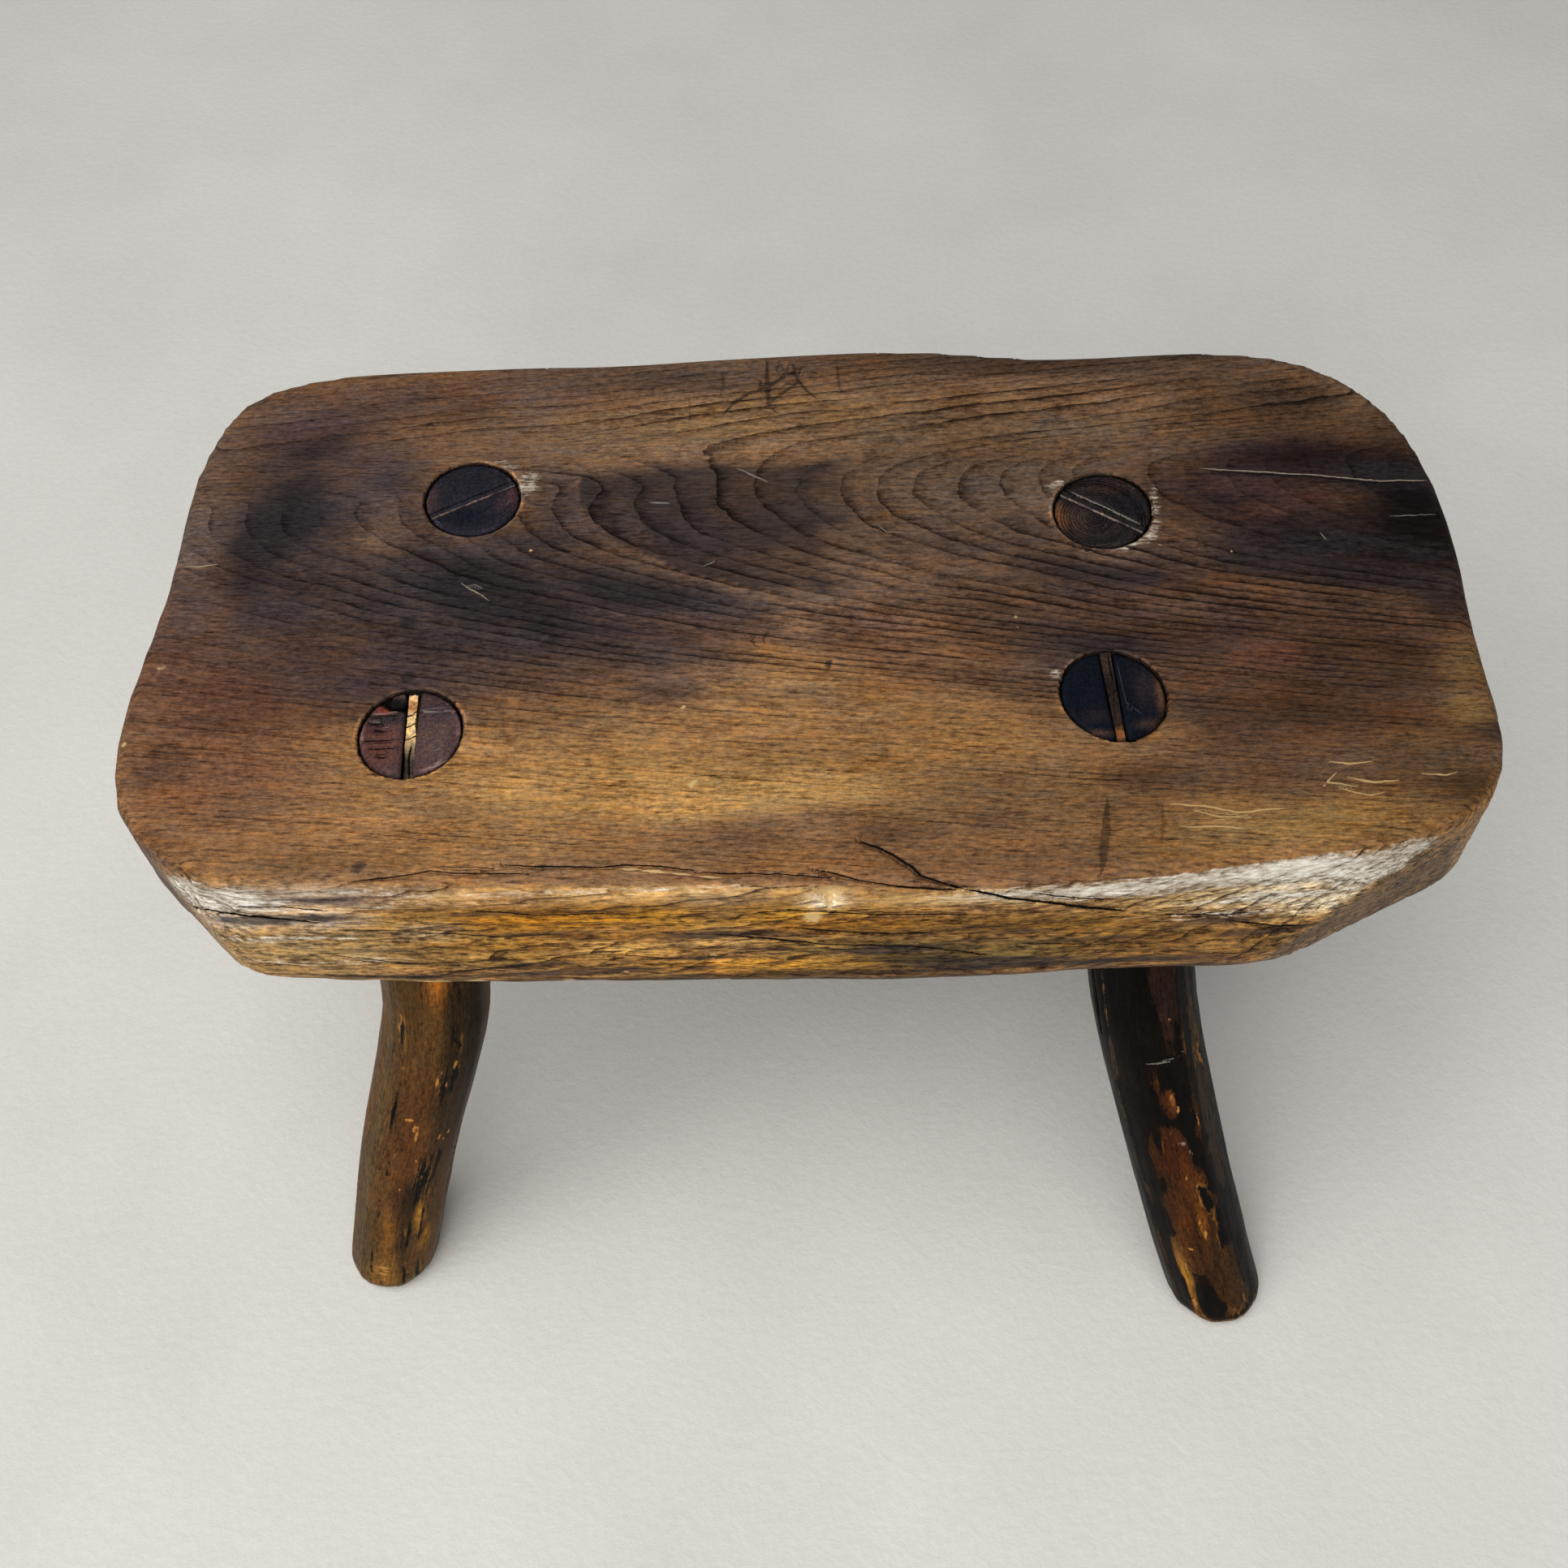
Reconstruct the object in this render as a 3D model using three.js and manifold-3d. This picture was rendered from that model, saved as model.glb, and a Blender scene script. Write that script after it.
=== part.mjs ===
// Four-legged wooden milking stool.
// A thick plank seat with a waney front edge, four splayed hand-hewn legs tenoned
// right through it, and a hardwood wedge driven into the kerf of each tenon.
// Millimetres, +Z up, +X along the seat, the waney edge towards -Y.
// The origin ends up on the floor, under the middle of the stool's bounding box.
import * as THREE from "three";
import { mergeVertices } from "three/addons/utils/BufferGeometryUtils.js";
import Module from "manifold-3d";

// ---- Seat --------------------------------------------------------------------
const STOOL_HEIGHT = 270;
const SEAT_THICKNESS = 46;
const SEAT_UNDERSIDE = STOOL_HEIGHT - SEAT_THICKNESS;
const SEAT_ARRIS = 3; // worn rounding along the top and bottom edges
const WANE_RUN_OUT = 7; // how much further forward the waney face stands at its foot
const WANE_FRONT_BAND = [60, 95]; // the run-out grows between these distances in front of centre
const WANE_MIDDLE = -8; // the waney stretch is centred a little left of the seat's middle
const WANE_END_FADE = [165, 197]; // and it fades out between these distances either side

// The seat's top edge seen from above, anticlockwise from the front left corner.
const SEAT_OUTLINE = [
  [-187, -98],
  [-133, -105],
  [-40, -111],
  [56, -115],
  [116, -113],
  [174, -106],
  [198, -96],
  [209, -79],
  [212, -30],
  [215, 25],
  [206, 67],
  [185, 91],
  [158, 100],
  [90, 102],
  [40, 109],
  [-60, 109],
  [-171, 108],
  [-195, 97],
  [-207, 66],
  [-210, 15],
  [-217, -50],
  [-212, -75],
  [-201, -88],
];

// ---- Legs, tenons and wedges ---------------------------------------------------
const TENON_RADIUS = 15.9;
const FIT_GAP = 0.3; // clearance between pieces that touch
const TENON_SETBACK = 0.4; // tenon ends stand this far below the seat's top face
const SHOULDER_LENGTH = 45; // the leg swells from tenon to full girth below the seat
const KNEE_HEIGHT = 150; // a leg is straight above this height
const SHIN_HEIGHT = 75;
const KERF_DEPTH = 30;
const KERF_ROOT_WIDTH = 1.6;
const KERF_OVERRUN = 10; // the kerf cutter reaches this far above the tenon's end

// tenon, shin and foot are the leg's centre line at the seat top, SHIN_HEIGHT and the floor.
// boreRun is the sideways run of the bore for each millimetre it drops.
// girth is the leg's radius at the shoulder and at the foot.
const LEGS = [
  {
    name: "front_left",
    tenon: [-124.7, -50.5],
    boreRun: [-0.1, -0.27],
    shin: [-160, -103],
    foot: [-180, -121.5],
    girth: [20.2, 17.8],
    kerfAngle: 90,
    kerfWidth: 4.2,
    facetTurn: 10,
  },
  {
    name: "front_right",
    tenon: [94, -48.3],
    boreRun: [0.165, -0.388],
    shin: [133, -123],
    foot: [155, -150.5],
    girth: [19.2, 18.7],
    kerfAngle: 91,
    kerfWidth: 3.8,
    facetTurn: 25,
  },
  {
    name: "back_left",
    tenon: [-110.8, 45.8],
    boreRun: [-0.13, 0.24],
    shin: [-142, 95],
    foot: [-159, 116],
    girth: [19.2, 18.2],
    kerfAngle: 26,
    kerfWidth: 2.8,
    facetTurn: 0,
  },
  {
    name: "back_right",
    tenon: [101.2, 27.3],
    boreRun: [0.2, 0.23],
    shin: [143, 74],
    foot: [161.5, 93.5],
    girth: [19.4, 18.6],
    kerfAngle: -36,
    kerfWidth: 3.2,
    facetTurn: 35,
  },
];

// ---- Fineness of the meshes ------------------------------------------------------
const OUTLINE_SEGMENTS = 96;
const SEAT_LAYERS = 4;
const ARRIS_SEGMENTS = 2;
const LEG_SIDES = 24;
const LEG_RINGS = 24;
const BORE_SIDES = 36;
const WELD_DISTANCE = 1e-4;

const wasm = await Module();
wasm.setup();

// ---- Solids and geometries -------------------------------------------------------
function toSolid(geometry) {
  geometry.deleteAttribute("normal");
  geometry.deleteAttribute("uv");
  const welded = mergeVertices(geometry, WELD_DISTANCE);
  const mesh = new wasm.Mesh({
    numProp: 3,
    vertProperties: new Float32Array(welded.attributes.position.array),
    triVerts: new Uint32Array(welded.index.array),
  });
  return new wasm.Manifold(mesh);
}

function toGeometry(solid) {
  const mesh = solid.getMesh();
  const geometry = new THREE.BufferGeometry();
  geometry.setAttribute("position", new THREE.BufferAttribute(mesh.vertProperties, 3));
  geometry.setIndex(new THREE.BufferAttribute(mesh.triVerts, 1));
  geometry.computeVertexNormals();
  return geometry;
}

// Moves every vertex of a geometry to where place(vertex) puts it.
function reshape(geometry, place) {
  const positions = geometry.attributes.position;
  const vertex = new THREE.Vector3();
  for (let i = 0; i < positions.count; i += 1) {
    vertex.fromBufferAttribute(positions, i);
    place(vertex);
    positions.setXYZ(i, vertex.x, vertex.y, vertex.z);
  }
  return geometry;
}

// A block wide enough to cover the whole stool between two heights.
function slab(bottom, top) {
  const side = 4 * STOOL_HEIGHT;
  const block = new THREE.BoxGeometry(side, side, top - bottom);
  block.translate(0, 0, (top + bottom) / 2);
  return toSolid(block);
}

const aboveTenons = slab(STOOL_HEIGHT - TENON_SETBACK, 2 * STOOL_HEIGHT);
const belowFloor = slab(-STOOL_HEIGHT, 0);

// ---- Seat --------------------------------------------------------------------
// The waney face leans out towards its foot along the middle of the front.
function leanWane(vertex) {
  const drop = (STOOL_HEIGHT - vertex.z) / SEAT_THICKNESS;
  const atFront = THREE.MathUtils.smoothstep(-vertex.y, ...WANE_FRONT_BAND);
  const atEnds = THREE.MathUtils.smoothstep(Math.abs(vertex.x - WANE_MIDDLE), ...WANE_END_FADE);
  vertex.y -= WANE_RUN_OUT * drop * atFront * (1 - atEnds);
}

function seatPlank() {
  const corners = SEAT_OUTLINE.map(([x, y]) => new THREE.Vector3(x, y, 0));
  const edge = new THREE.CatmullRomCurve3(corners, true, "centripetal");
  const outline = edge.getSpacedPoints(OUTLINE_SEGMENTS).slice(0, -1);
  const shape = new THREE.Shape(outline.map(({ x, y }) => new THREE.Vector2(x, y)));
  const plank = new THREE.ExtrudeGeometry(shape, {
    depth: SEAT_THICKNESS - 2 * SEAT_ARRIS,
    steps: SEAT_LAYERS,
    bevelThickness: SEAT_ARRIS,
    bevelSize: SEAT_ARRIS,
    bevelOffset: -SEAT_ARRIS,
    bevelSegments: ARRIS_SEGMENTS,
  });
  plank.translate(0, 0, SEAT_UNDERSIDE + SEAT_ARRIS);
  return toSolid(reshape(plank, leanWane));
}

// ---- Leg centre lines and tenon frames -------------------------------------------
function onBoreLine(leg, height) {
  const drop = STOOL_HEIGHT - height;
  const x = leg.tenon[0] + leg.boreRun[0] * drop;
  const y = leg.tenon[1] + leg.boreRun[1] * drop;
  return new THREE.Vector3(x, y, height);
}

// Straight down the bore to the knee, then out to the foot, with a little to spare at each end.
function centreLine(leg) {
  const shin = new THREE.Vector3(...leg.shin, SHIN_HEIGHT);
  const foot = new THREE.Vector3(...leg.foot, 0);
  const spare = foot.clone().addScaledVector(foot.clone().sub(shin), 0.2);
  const straight = [1.1, 0.8, 0.65].map((share) => onBoreLine(leg, share * STOOL_HEIGHT));
  const points = [...straight, onBoreLine(leg, KNEE_HEIGHT), shin, foot, spare];
  return new THREE.CatmullRomCurve3(points, false, "centripetal");
}

// Z runs up the bore, X along the kerf, and the origin is the tenon's centre at the seat top.
function tenonFrame(leg) {
  const up = onBoreLine(leg, STOOL_HEIGHT).sub(onBoreLine(leg, 0)).normalize();
  const angle = THREE.MathUtils.degToRad(leg.kerfAngle);
  const along = new THREE.Vector3(Math.cos(angle), Math.sin(angle), 0);
  along.addScaledVector(up, -along.dot(up)).normalize();
  const across = new THREE.Vector3().crossVectors(up, along);
  const frame = new THREE.Matrix4().makeBasis(along, across, up);
  return frame.setPosition(onBoreLine(leg, STOOL_HEIGHT));
}

// A round bar down the bore, long enough to pass right through the seat.
function boreBar(leg, radius) {
  const bar = new THREE.CylinderGeometry(radius, radius, 4 * SEAT_THICKNESS, BORE_SIDES);
  bar.rotateX(Math.PI / 2);
  bar.applyMatrix4(tenonFrame(leg));
  return toSolid(bar);
}

// A tapered blade across the tenon, thinner on each side and at its tip by the inset.
function kerfBlade(leg, inset) {
  const taper = (leg.kerfWidth - KERF_ROOT_WIDTH) / 2 / KERF_DEPTH;
  const top = leg.kerfWidth / 2 + taper * KERF_OVERRUN - inset;
  const tip = KERF_ROOT_WIDTH / 2 - inset;
  const tipHeight = inset - KERF_DEPTH;
  const profile = new THREE.Shape([
    new THREE.Vector2(-tip, tipHeight),
    new THREE.Vector2(tip, tipHeight),
    new THREE.Vector2(top, KERF_OVERRUN),
    new THREE.Vector2(-top, KERF_OVERRUN),
  ]);
  const length = 3 * TENON_RADIUS;
  const blade = new THREE.ExtrudeGeometry(profile, { depth: length, bevelEnabled: false });
  blade.translate(0, 0, -length / 2);
  const across = new THREE.Vector3(0, 1, 0);
  const up = new THREE.Vector3(0, 0, 1);
  const along = new THREE.Vector3(1, 0, 0);
  blade.applyMatrix4(new THREE.Matrix4().makeBasis(across, up, along));
  blade.applyMatrix4(tenonFrame(leg));
  return toSolid(blade);
}

// ---- Legs ----------------------------------------------------------------------
// The leg's radius at a height: tenon in the seat, shoulder below it, then girth to the foot.
function legRadius(leg, height) {
  const fall = (SEAT_UNDERSIDE - height) / SEAT_UNDERSIDE;
  const girth = THREE.MathUtils.lerp(leg.girth[0], leg.girth[1], THREE.MathUtils.clamp(fall, 0, 1));
  const swell = THREE.MathUtils.smoothstep(SEAT_UNDERSIDE - height, 0, SHOULDER_LENGTH);
  return THREE.MathUtils.lerp(TENON_RADIUS, girth, swell);
}

// Eight softened flats left by the hewing: 1 on an edge between flats, less in a flat's middle.
function hewnFacet(angle, turn) {
  const flat = Math.PI / 4;
  const fromEdge = THREE.MathUtils.euclideanModulo(angle + THREE.MathUtils.degToRad(turn), flat);
  return Math.cos(flat / 2) / Math.cos(fromEdge - flat / 2);
}

function legBlank(leg) {
  const path = centreLine(leg);
  const blank = new THREE.CylinderGeometry(1, 1, 1, LEG_SIDES, LEG_RINGS);
  const sideways = new THREE.Vector3(1, 0, 0);
  return reshape(blank, (vertex) => {
    const along = THREE.MathUtils.clamp(0.5 - vertex.y, 0, 1);
    const angle = Math.atan2(vertex.z, vertex.x);
    const share = Math.hypot(vertex.x, vertex.z);
    const centre = path.getPointAt(along);
    const up = path.getTangentAt(along).negate();
    const depthAxis = new THREE.Vector3().crossVectors(sideways, up).normalize();
    const widthAxis = new THREE.Vector3().crossVectors(up, depthAxis);
    const swell = THREE.MathUtils.smoothstep(SEAT_UNDERSIDE - centre.z, 0, SHOULDER_LENGTH);
    const facet = THREE.MathUtils.lerp(1, hewnFacet(angle, leg.facetTurn), 0.6 * swell);
    const radius = share * facet * legRadius(leg, centre.z);
    vertex.copy(centre);
    vertex.addScaledVector(widthAxis, radius * Math.cos(angle));
    vertex.addScaledVector(depthAxis, radius * Math.sin(angle));
  });
}

function legSolid(leg) {
  const trimmed = toSolid(legBlank(leg)).subtract(belowFloor).subtract(aboveTenons);
  return trimmed.subtract(kerfBlade(leg, 0));
}

function wedgeSolid(leg) {
  const tenon = boreBar(leg, TENON_RADIUS - FIT_GAP);
  return tenon.intersect(kerfBlade(leg, FIT_GAP)).subtract(aboveTenons);
}

// ---- Assembly ------------------------------------------------------------------
const seatWood = { color: 0x5d3b22, roughness: 0.45, metalness: 0 };
const legWood = { color: 0x4a2f1c, roughness: 0.5, metalness: 0 };
const wedgeWood = { color: 0x8a6238, roughness: 0.7, metalness: 0 };

function piece(name, solid, finish) {
  const mesh = new THREE.Mesh(toGeometry(solid), new THREE.MeshStandardMaterial(finish));
  mesh.name = name;
  return mesh;
}

const stool = new THREE.Group();

let seat = seatPlank();
for (const leg of LEGS) {
  seat = seat.subtract(boreBar(leg, TENON_RADIUS + FIT_GAP));
}
stool.add(piece("seat", seat, seatWood));

for (const leg of LEGS) {
  stool.add(piece(`leg_${leg.name}`, legSolid(leg), legWood));
  stool.add(piece(`wedge_${leg.name}`, wedgeSolid(leg), wedgeWood));
}

const extent = new THREE.Box3().setFromObject(stool);
const middle = extent.getCenter(new THREE.Vector3());
stool.position.set(-middle.x, -middle.y, -extent.min.z);
stool.updateMatrixWorld(true);

export default stool;
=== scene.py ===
"""The looks of an old wooden milking stool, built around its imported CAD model.

Every piece starts as a copy of its CAD solid. It is remeshed finely, then worn, hewn, cracked
and chipped by moving its points, and its points carry the fields that the timber material reads:
which way the grain runs, how light the wood is, and where it is stained, bare, cracked or nicked.

Sizes here are in millimetres in the CAD model's own frame, and meshes are in metres.
"""

import math

import bmesh
import bpy
import numpy as np
from mathutils import Matrix, Vector
from mathutils.bvhtree import BVHTree


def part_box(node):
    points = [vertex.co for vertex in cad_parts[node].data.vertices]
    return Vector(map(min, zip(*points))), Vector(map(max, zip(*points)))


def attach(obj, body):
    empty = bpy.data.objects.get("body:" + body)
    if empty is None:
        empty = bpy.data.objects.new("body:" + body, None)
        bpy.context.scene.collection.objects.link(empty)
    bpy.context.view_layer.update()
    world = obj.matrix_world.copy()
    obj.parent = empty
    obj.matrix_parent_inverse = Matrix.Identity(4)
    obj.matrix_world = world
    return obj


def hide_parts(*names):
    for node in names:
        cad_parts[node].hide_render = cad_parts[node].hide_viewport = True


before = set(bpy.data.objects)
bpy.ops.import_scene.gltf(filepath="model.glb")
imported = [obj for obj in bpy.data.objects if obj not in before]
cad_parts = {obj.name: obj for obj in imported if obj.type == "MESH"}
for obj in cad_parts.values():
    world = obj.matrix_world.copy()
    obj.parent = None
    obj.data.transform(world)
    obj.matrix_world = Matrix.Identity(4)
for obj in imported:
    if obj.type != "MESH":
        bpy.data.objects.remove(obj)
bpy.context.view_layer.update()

MM = 0.001
FAR = 1e3

# Field values well away from any mark, and well outside any stain or bare patch.
CLEAR = 60.0
OUTSIDE = -20.0

# How finely each kind of piece is remeshed.
SEAT_VOXEL = 2.1
LEG_VOXEL = 1.05
WEDGE_VOXEL = 0.4


# ------------------------------------------------------------------ numbers over many points


def smooth(low, high, value):
    """0 below low, 1 above high and an S curve between; low may be the larger of the two."""
    t = np.clip((value - low) / (high - low), 0, 1)
    return t * t * (3 - 2 * t)


def lattice(cell, seed):
    """A number from 0 to 1 for each whole-numbered cell, always the same for a seed."""
    key = cell @ np.array([73856093, 19349663, 83492791]) + seed * 40503
    for factor, shift in ((1274126177, 13), (668265263, 11)):
        key = ((key ^ (key >> shift)) & 0x7FFFFFFF) * factor
    return ((key >> 15) & 0xFFFF) / 0xFFFF


def noise(points, seed):
    """Smooth noise from -1 to 1 with features about one unit across."""
    cell = np.floor(points).astype(np.int64)
    part = points - cell
    part = part * part * (3 - 2 * part)
    total = np.zeros(len(points))
    for corner in np.ndindex(2, 2, 2):
        weight = np.prod(np.where(corner, part, 1 - part), axis=1)
        total += weight * lattice(cell + np.array(corner), seed)
    return 2 * total - 1


def fractal(points, size, seed, octaves=3):
    """Noise with detail, its features size millimetres across: one number, or one per axis."""
    points = points / np.asarray(size, float)
    total, height, scale = 0, 1.0, 0.0
    for octave in range(octaves):
        total = total + height * noise(points * 2**octave + 17 * octave, seed + octave)
        scale += height
        height /= 2
    return total / scale


def blot(x, y, centre, radii, tilt=0.0):
    """How far inside an ellipse each point is, in millimetres of its shorter radius."""
    c, s = math.cos(math.radians(tilt)), math.sin(math.radians(tilt))
    dx, dy = x - centre[0], y - centre[1]
    reach = np.hypot((c * dx + s * dy) / radii[0], (c * dy - s * dx) / radii[1])
    return (1 - reach) * min(radii)


def blots(x, y, shapes):
    """The deepest of several blots at each point."""
    return np.max([blot(x, y, *shape) for shape in shapes], axis=0)


def in_plane(x, y):
    """Points in a plane, for noise that doesn't change with depth."""
    return np.stack([x, y, 0 * x], axis=1)


def lay(tint, mask, colour):
    """Lays a colour over a tint, as strongly as the mask says from 0 to 1."""
    tint += mask[:, None] * (np.asarray(colour, float) - tint)


def washes(x, y, base, shapes):
    """Soft overlapping washes of colour: each shape is (centre, radii, colour) or with a tilt."""
    base = np.asarray(base, float)
    tint = np.array(np.broadcast_to(base, (len(x), base.shape[-1])))
    for centre, radii, colour, *tilt in shapes:
        reach = 1 - blot(x, y, centre, radii, *tilt) / min(radii)
        lay(tint, np.exp(-(np.maximum(reach, 0) ** 2.6)), colour)
    return tint


def line(x, y, path, half_width, taper=6.0):
    """Signed distance from a path of straight runs, in its half widths, thin at both ends."""
    path = np.asarray(path, float)
    runs = np.hypot(*np.diff(path, axis=0).T)
    starts = np.concatenate([[0], np.cumsum(runs)])
    best, place = np.full(x.shape, FAR), np.zeros(x.shape)
    for a, b, run, start in zip(path, path[1:], runs, starts):
        way = (b - a) / run
        dx, dy = x - a[0], y - a[1]
        t = np.clip(dx * way[0] + dy * way[1], 0, run)
        ex, ey = dx - t * way[0], dy - t * way[1]
        side = np.where(ex * way[1] - ey * way[0] < 0, -1, 1)
        distance = np.hypot(ex, ey) * side
        nearer = np.abs(distance) < np.abs(best)
        best = np.where(nearer, distance, best)
        place = np.where(nearer, start + t, place)
    ends = np.clip(np.minimum(place, starts[-1] - place) / taper, 0.03, 1)
    return best / (half_width * np.sqrt(ends))


def marks(shape, fields):
    """Merges (field, strength) pairs into the nearest mark's field, its size and its strength.

    The size keeps its sign from flipping half-way between two marks, where the field's does."""
    values = np.stack([np.full(shape, CLEAR)] + [f for f, _ in fields])
    strengths = np.array([0.0] + [s for _, s in fields])
    pick = np.abs(values).argmin(axis=0)
    value = np.clip(np.take_along_axis(values, pick[None], 0)[0], -CLEAR, CLEAR)
    return np.stack([value, np.abs(value), strengths[pick]], axis=1)


# ------------------------------------------------------------------ meshes


def read(mesh, what="co"):
    """Every vertex's place in millimetres, or its normal."""
    out = np.zeros(len(mesh.vertices) * 3, np.float32)
    if what == "co":
        mesh.vertices.foreach_get("co", out)
        return out.reshape(-1, 3).astype(float) / MM
    mesh.vertex_normals.foreach_get("vector", out)
    return out.reshape(-1, 3).astype(float)


def write(mesh, points):
    mesh.vertices.foreach_set("co", (points * MM).astype(np.float32).ravel())
    mesh.update()


def remeshed(node, name, voxel):
    """A new piece with the CAD node's shape, evenly meshed."""
    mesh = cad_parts[node].data.copy()
    joined = bmesh.new()
    joined.from_mesh(mesh)
    bmesh.ops.remove_doubles(joined, verts=joined.verts, dist=1e-6)
    joined.to_mesh(mesh)
    joined.free()
    piece = bpy.data.objects.new(name, mesh)
    bpy.context.scene.collection.objects.link(piece)
    modifier = piece.modifiers.new("remesh", "REMESH")
    modifier.mode = "VOXEL"
    modifier.voxel_size = voxel * MM
    graph = bpy.context.evaluated_depsgraph_get()
    even = bpy.data.meshes.new_from_object(piece.evaluated_get(graph))
    piece.modifiers.clear()
    piece.data = even
    even.name = name
    even.materials.clear()
    return piece


def refine(mesh, zone):
    """Halves the edges that lie wholly in the zone, a truth value for each vertex."""
    work = bmesh.new()
    work.from_mesh(mesh)
    edges = [e for e in work.edges if zone[e.verts[0].index] and zone[e.verts[1].index]]
    bmesh.ops.subdivide_edges(work, edges=edges, cuts=1, use_grid_fill=True)
    wide = [f for f in work.faces if len(f.verts) > 4]
    bmesh.ops.triangulate(work, faces=wide)
    work.to_mesh(mesh)
    work.free()


def snap(mesh, node, zone):
    """Puts the zone's vertices back on the CAD surface, which sharpens its edges again."""
    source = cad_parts[node].data
    corners = [v.co for v in source.vertices]
    tree = BVHTree.FromPolygons(corners, [p.vertices for p in source.polygons])
    points = read(mesh)
    for i in np.flatnonzero(zone):
        points[i] = np.array(tree.find_nearest(Vector(points[i] * MM))[0]) / MM
    write(mesh, points)


def store(mesh, **fields):
    """Keeps fields on the mesh's points, where the material reads them."""
    for name, values in fields.items():
        vector = np.ndim(values) == 2
        if np.ndim(values) == 0:
            values = np.full(len(mesh.vertices), values)
        field = mesh.attributes.new(name, "FLOAT_VECTOR" if vector else "FLOAT", "POINT")
        flat = np.ascontiguousarray(values, np.float32).ravel()
        field.data.foreach_set("vector" if vector else "value", flat)


def finish_piece(piece, node, material, crease=55):
    """Shades a piece and ties it to the frame."""
    mesh = piece.data
    mesh.shade_smooth()
    mesh.set_sharp_from_angle(angle=math.radians(crease))
    mesh.materials.append(material)
    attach(piece, "root")
    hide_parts(node)


# ------------------------------------------------------------------ the timber material


def unscreened(srgb):
    """Colours from 0 to 255 sRGB turned into the light they stand for."""
    part = np.asarray(srgb, float) / 255
    return np.where(part > 0.04045, ((part + 0.055) / 1.055) ** 2.4, part / 12.92)


def linear(*srgb):
    """One colour given as 0 to 255 sRGB, as the shader wants it."""
    return tuple(float(part) for part in unscreened(srgb)) + (1,)


class Nodes:
    """Short names for the shader nodes that the materials are made of."""

    def __init__(self, name):
        self.material = bpy.data.materials.new(name)
        self.material.use_nodes = True
        self.tree = self.material.node_tree
        self.shader = self.tree.nodes["Principled BSDF"]

    def put(self, socket, value):
        if isinstance(value, bpy.types.NodeSocket):
            self.tree.links.new(value, socket)
        elif value is not None:
            socket.default_value = value

    def node(self, kind, inputs=(), **settings):
        made = self.tree.nodes.new("ShaderNode" + kind)
        for key, value in settings.items():
            setattr(made, key, value)
        for key, value in dict(inputs).items():
            self.put(made.inputs[key], value)
        return made

    def field(self, name, output="Fac"):
        return self.node("Attribute", attribute_name=name).outputs[output]

    def mark(self, name):
        """How far into a crack or nick each point is, within 1 inside it, and its strength."""
        parts = self.node("SeparateXYZ", {0: self.field(name, "Vector")}).outputs
        near = self.math("SUBTRACT", parts[1], 4.0)
        return self.math("MAXIMUM", self.math("ABSOLUTE", parts[0]), near), parts[2]

    def math(self, operation, a, b=None, c=None, clamp=False):
        inputs = {i: v for i, v in enumerate((a, b, c)) if v is not None}
        return self.node("Math", inputs, operation=operation, use_clamp=clamp).outputs[0]

    def mul(self, a, b, clamp=False):
        return self.math("MULTIPLY", a, b, clamp=clamp)

    def mul_add(self, a, b, c, clamp=False):
        """a times b, plus c."""
        return self.math("MULTIPLY_ADD", a, b, c, clamp)

    def add_up(self, total, *parts, clamp=False):
        """A total plus each part's value times its weight, at last clamped to 0 and 1 if asked."""
        for value, weight in parts[:-1]:
            total = self.mul_add(value, weight, total)
        return self.mul_add(*parts[-1], total, clamp)

    def product(self, a, b):
        """Two colours or vectors multiplied, part by part."""
        return self.node("VectorMath", {0: a, 1: b}, operation="MULTIPLY").outputs[0]

    def step(self, value, low, high):
        """0 below low, 1 above high, smooth between."""
        inputs = {"Value": value, "From Min": low, "From Max": high}
        return self.node("MapRange", inputs, interpolation_type="SMOOTHSTEP").outputs[0]

    def stretch(self, vector, size):
        """A vector divided by the size of the features along each axis."""
        return self.product(vector, tuple(1 / s for s in size))

    def noise(self, vector, size, detail=2.0, roughness=0.5):
        """Noise about 0, from near -1 to near 1, its features size millimetres across."""
        inputs = {"Vector": self.stretch(vector, size), "Scale": 1.0}
        inputs.update({"Detail": detail, "Roughness": roughness})
        made = self.node("TexNoise", inputs)
        return self.mul_add(made.outputs["Fac"], 4.0, -2.0)

    def ramp(self, value, colours):
        """Evenly spaced colours from 0 to 1."""
        made = self.node("ValToRGB", {"Fac": value})
        stops = made.color_ramp.elements
        while len(stops) < len(colours):
            stops.new(0.5)
        for i, colour in enumerate(colours):
            stops[i].position = i / (len(colours) - 1)
            stops[i].color = linear(*colour)
        return made.outputs["Color"]

    def mix(self, factor, a, b, blend="MIX"):
        made = self.node("Mix", data_type="RGBA", blend_type=blend)
        self.put(made.inputs["Factor"], factor)
        for key, value in (("A", a), ("B", b)):
            sockets = [s for s in made.inputs if s.name == key and s.type == "RGBA"]
            self.put(sockets[0], value)
        return [s for s in made.outputs if s.type == "RGBA"][0]


# Colours of the wood, from 0 to 255 sRGB.
OAK = (122, 88, 60)
TAN = (104, 80, 62)
CREAM = (206, 190, 162)
FACE_WOOD = (148, 110, 66)
# The pared facet's colour, darker than the face's: partly the wood's own, partly painted shade where
# the facet turns away from the light.
SHADED_PARED_WOOD = (112, 88, 62)
SIDE_WOOD = (84, 62, 44)
UNDER_WOOD = (104, 80, 58)
SHADE = ((58, 52, 52), (118, 112, 109), (172, 172, 172), (220, 217, 208), (253, 251, 240))
CAST = ((156, 168, 190), (173, 172, 172), (190, 174, 142))
BARE = ((60, 51, 44), (118, 104, 90), (174, 161, 144), (212, 205, 192), (242, 240, 236))
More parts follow.
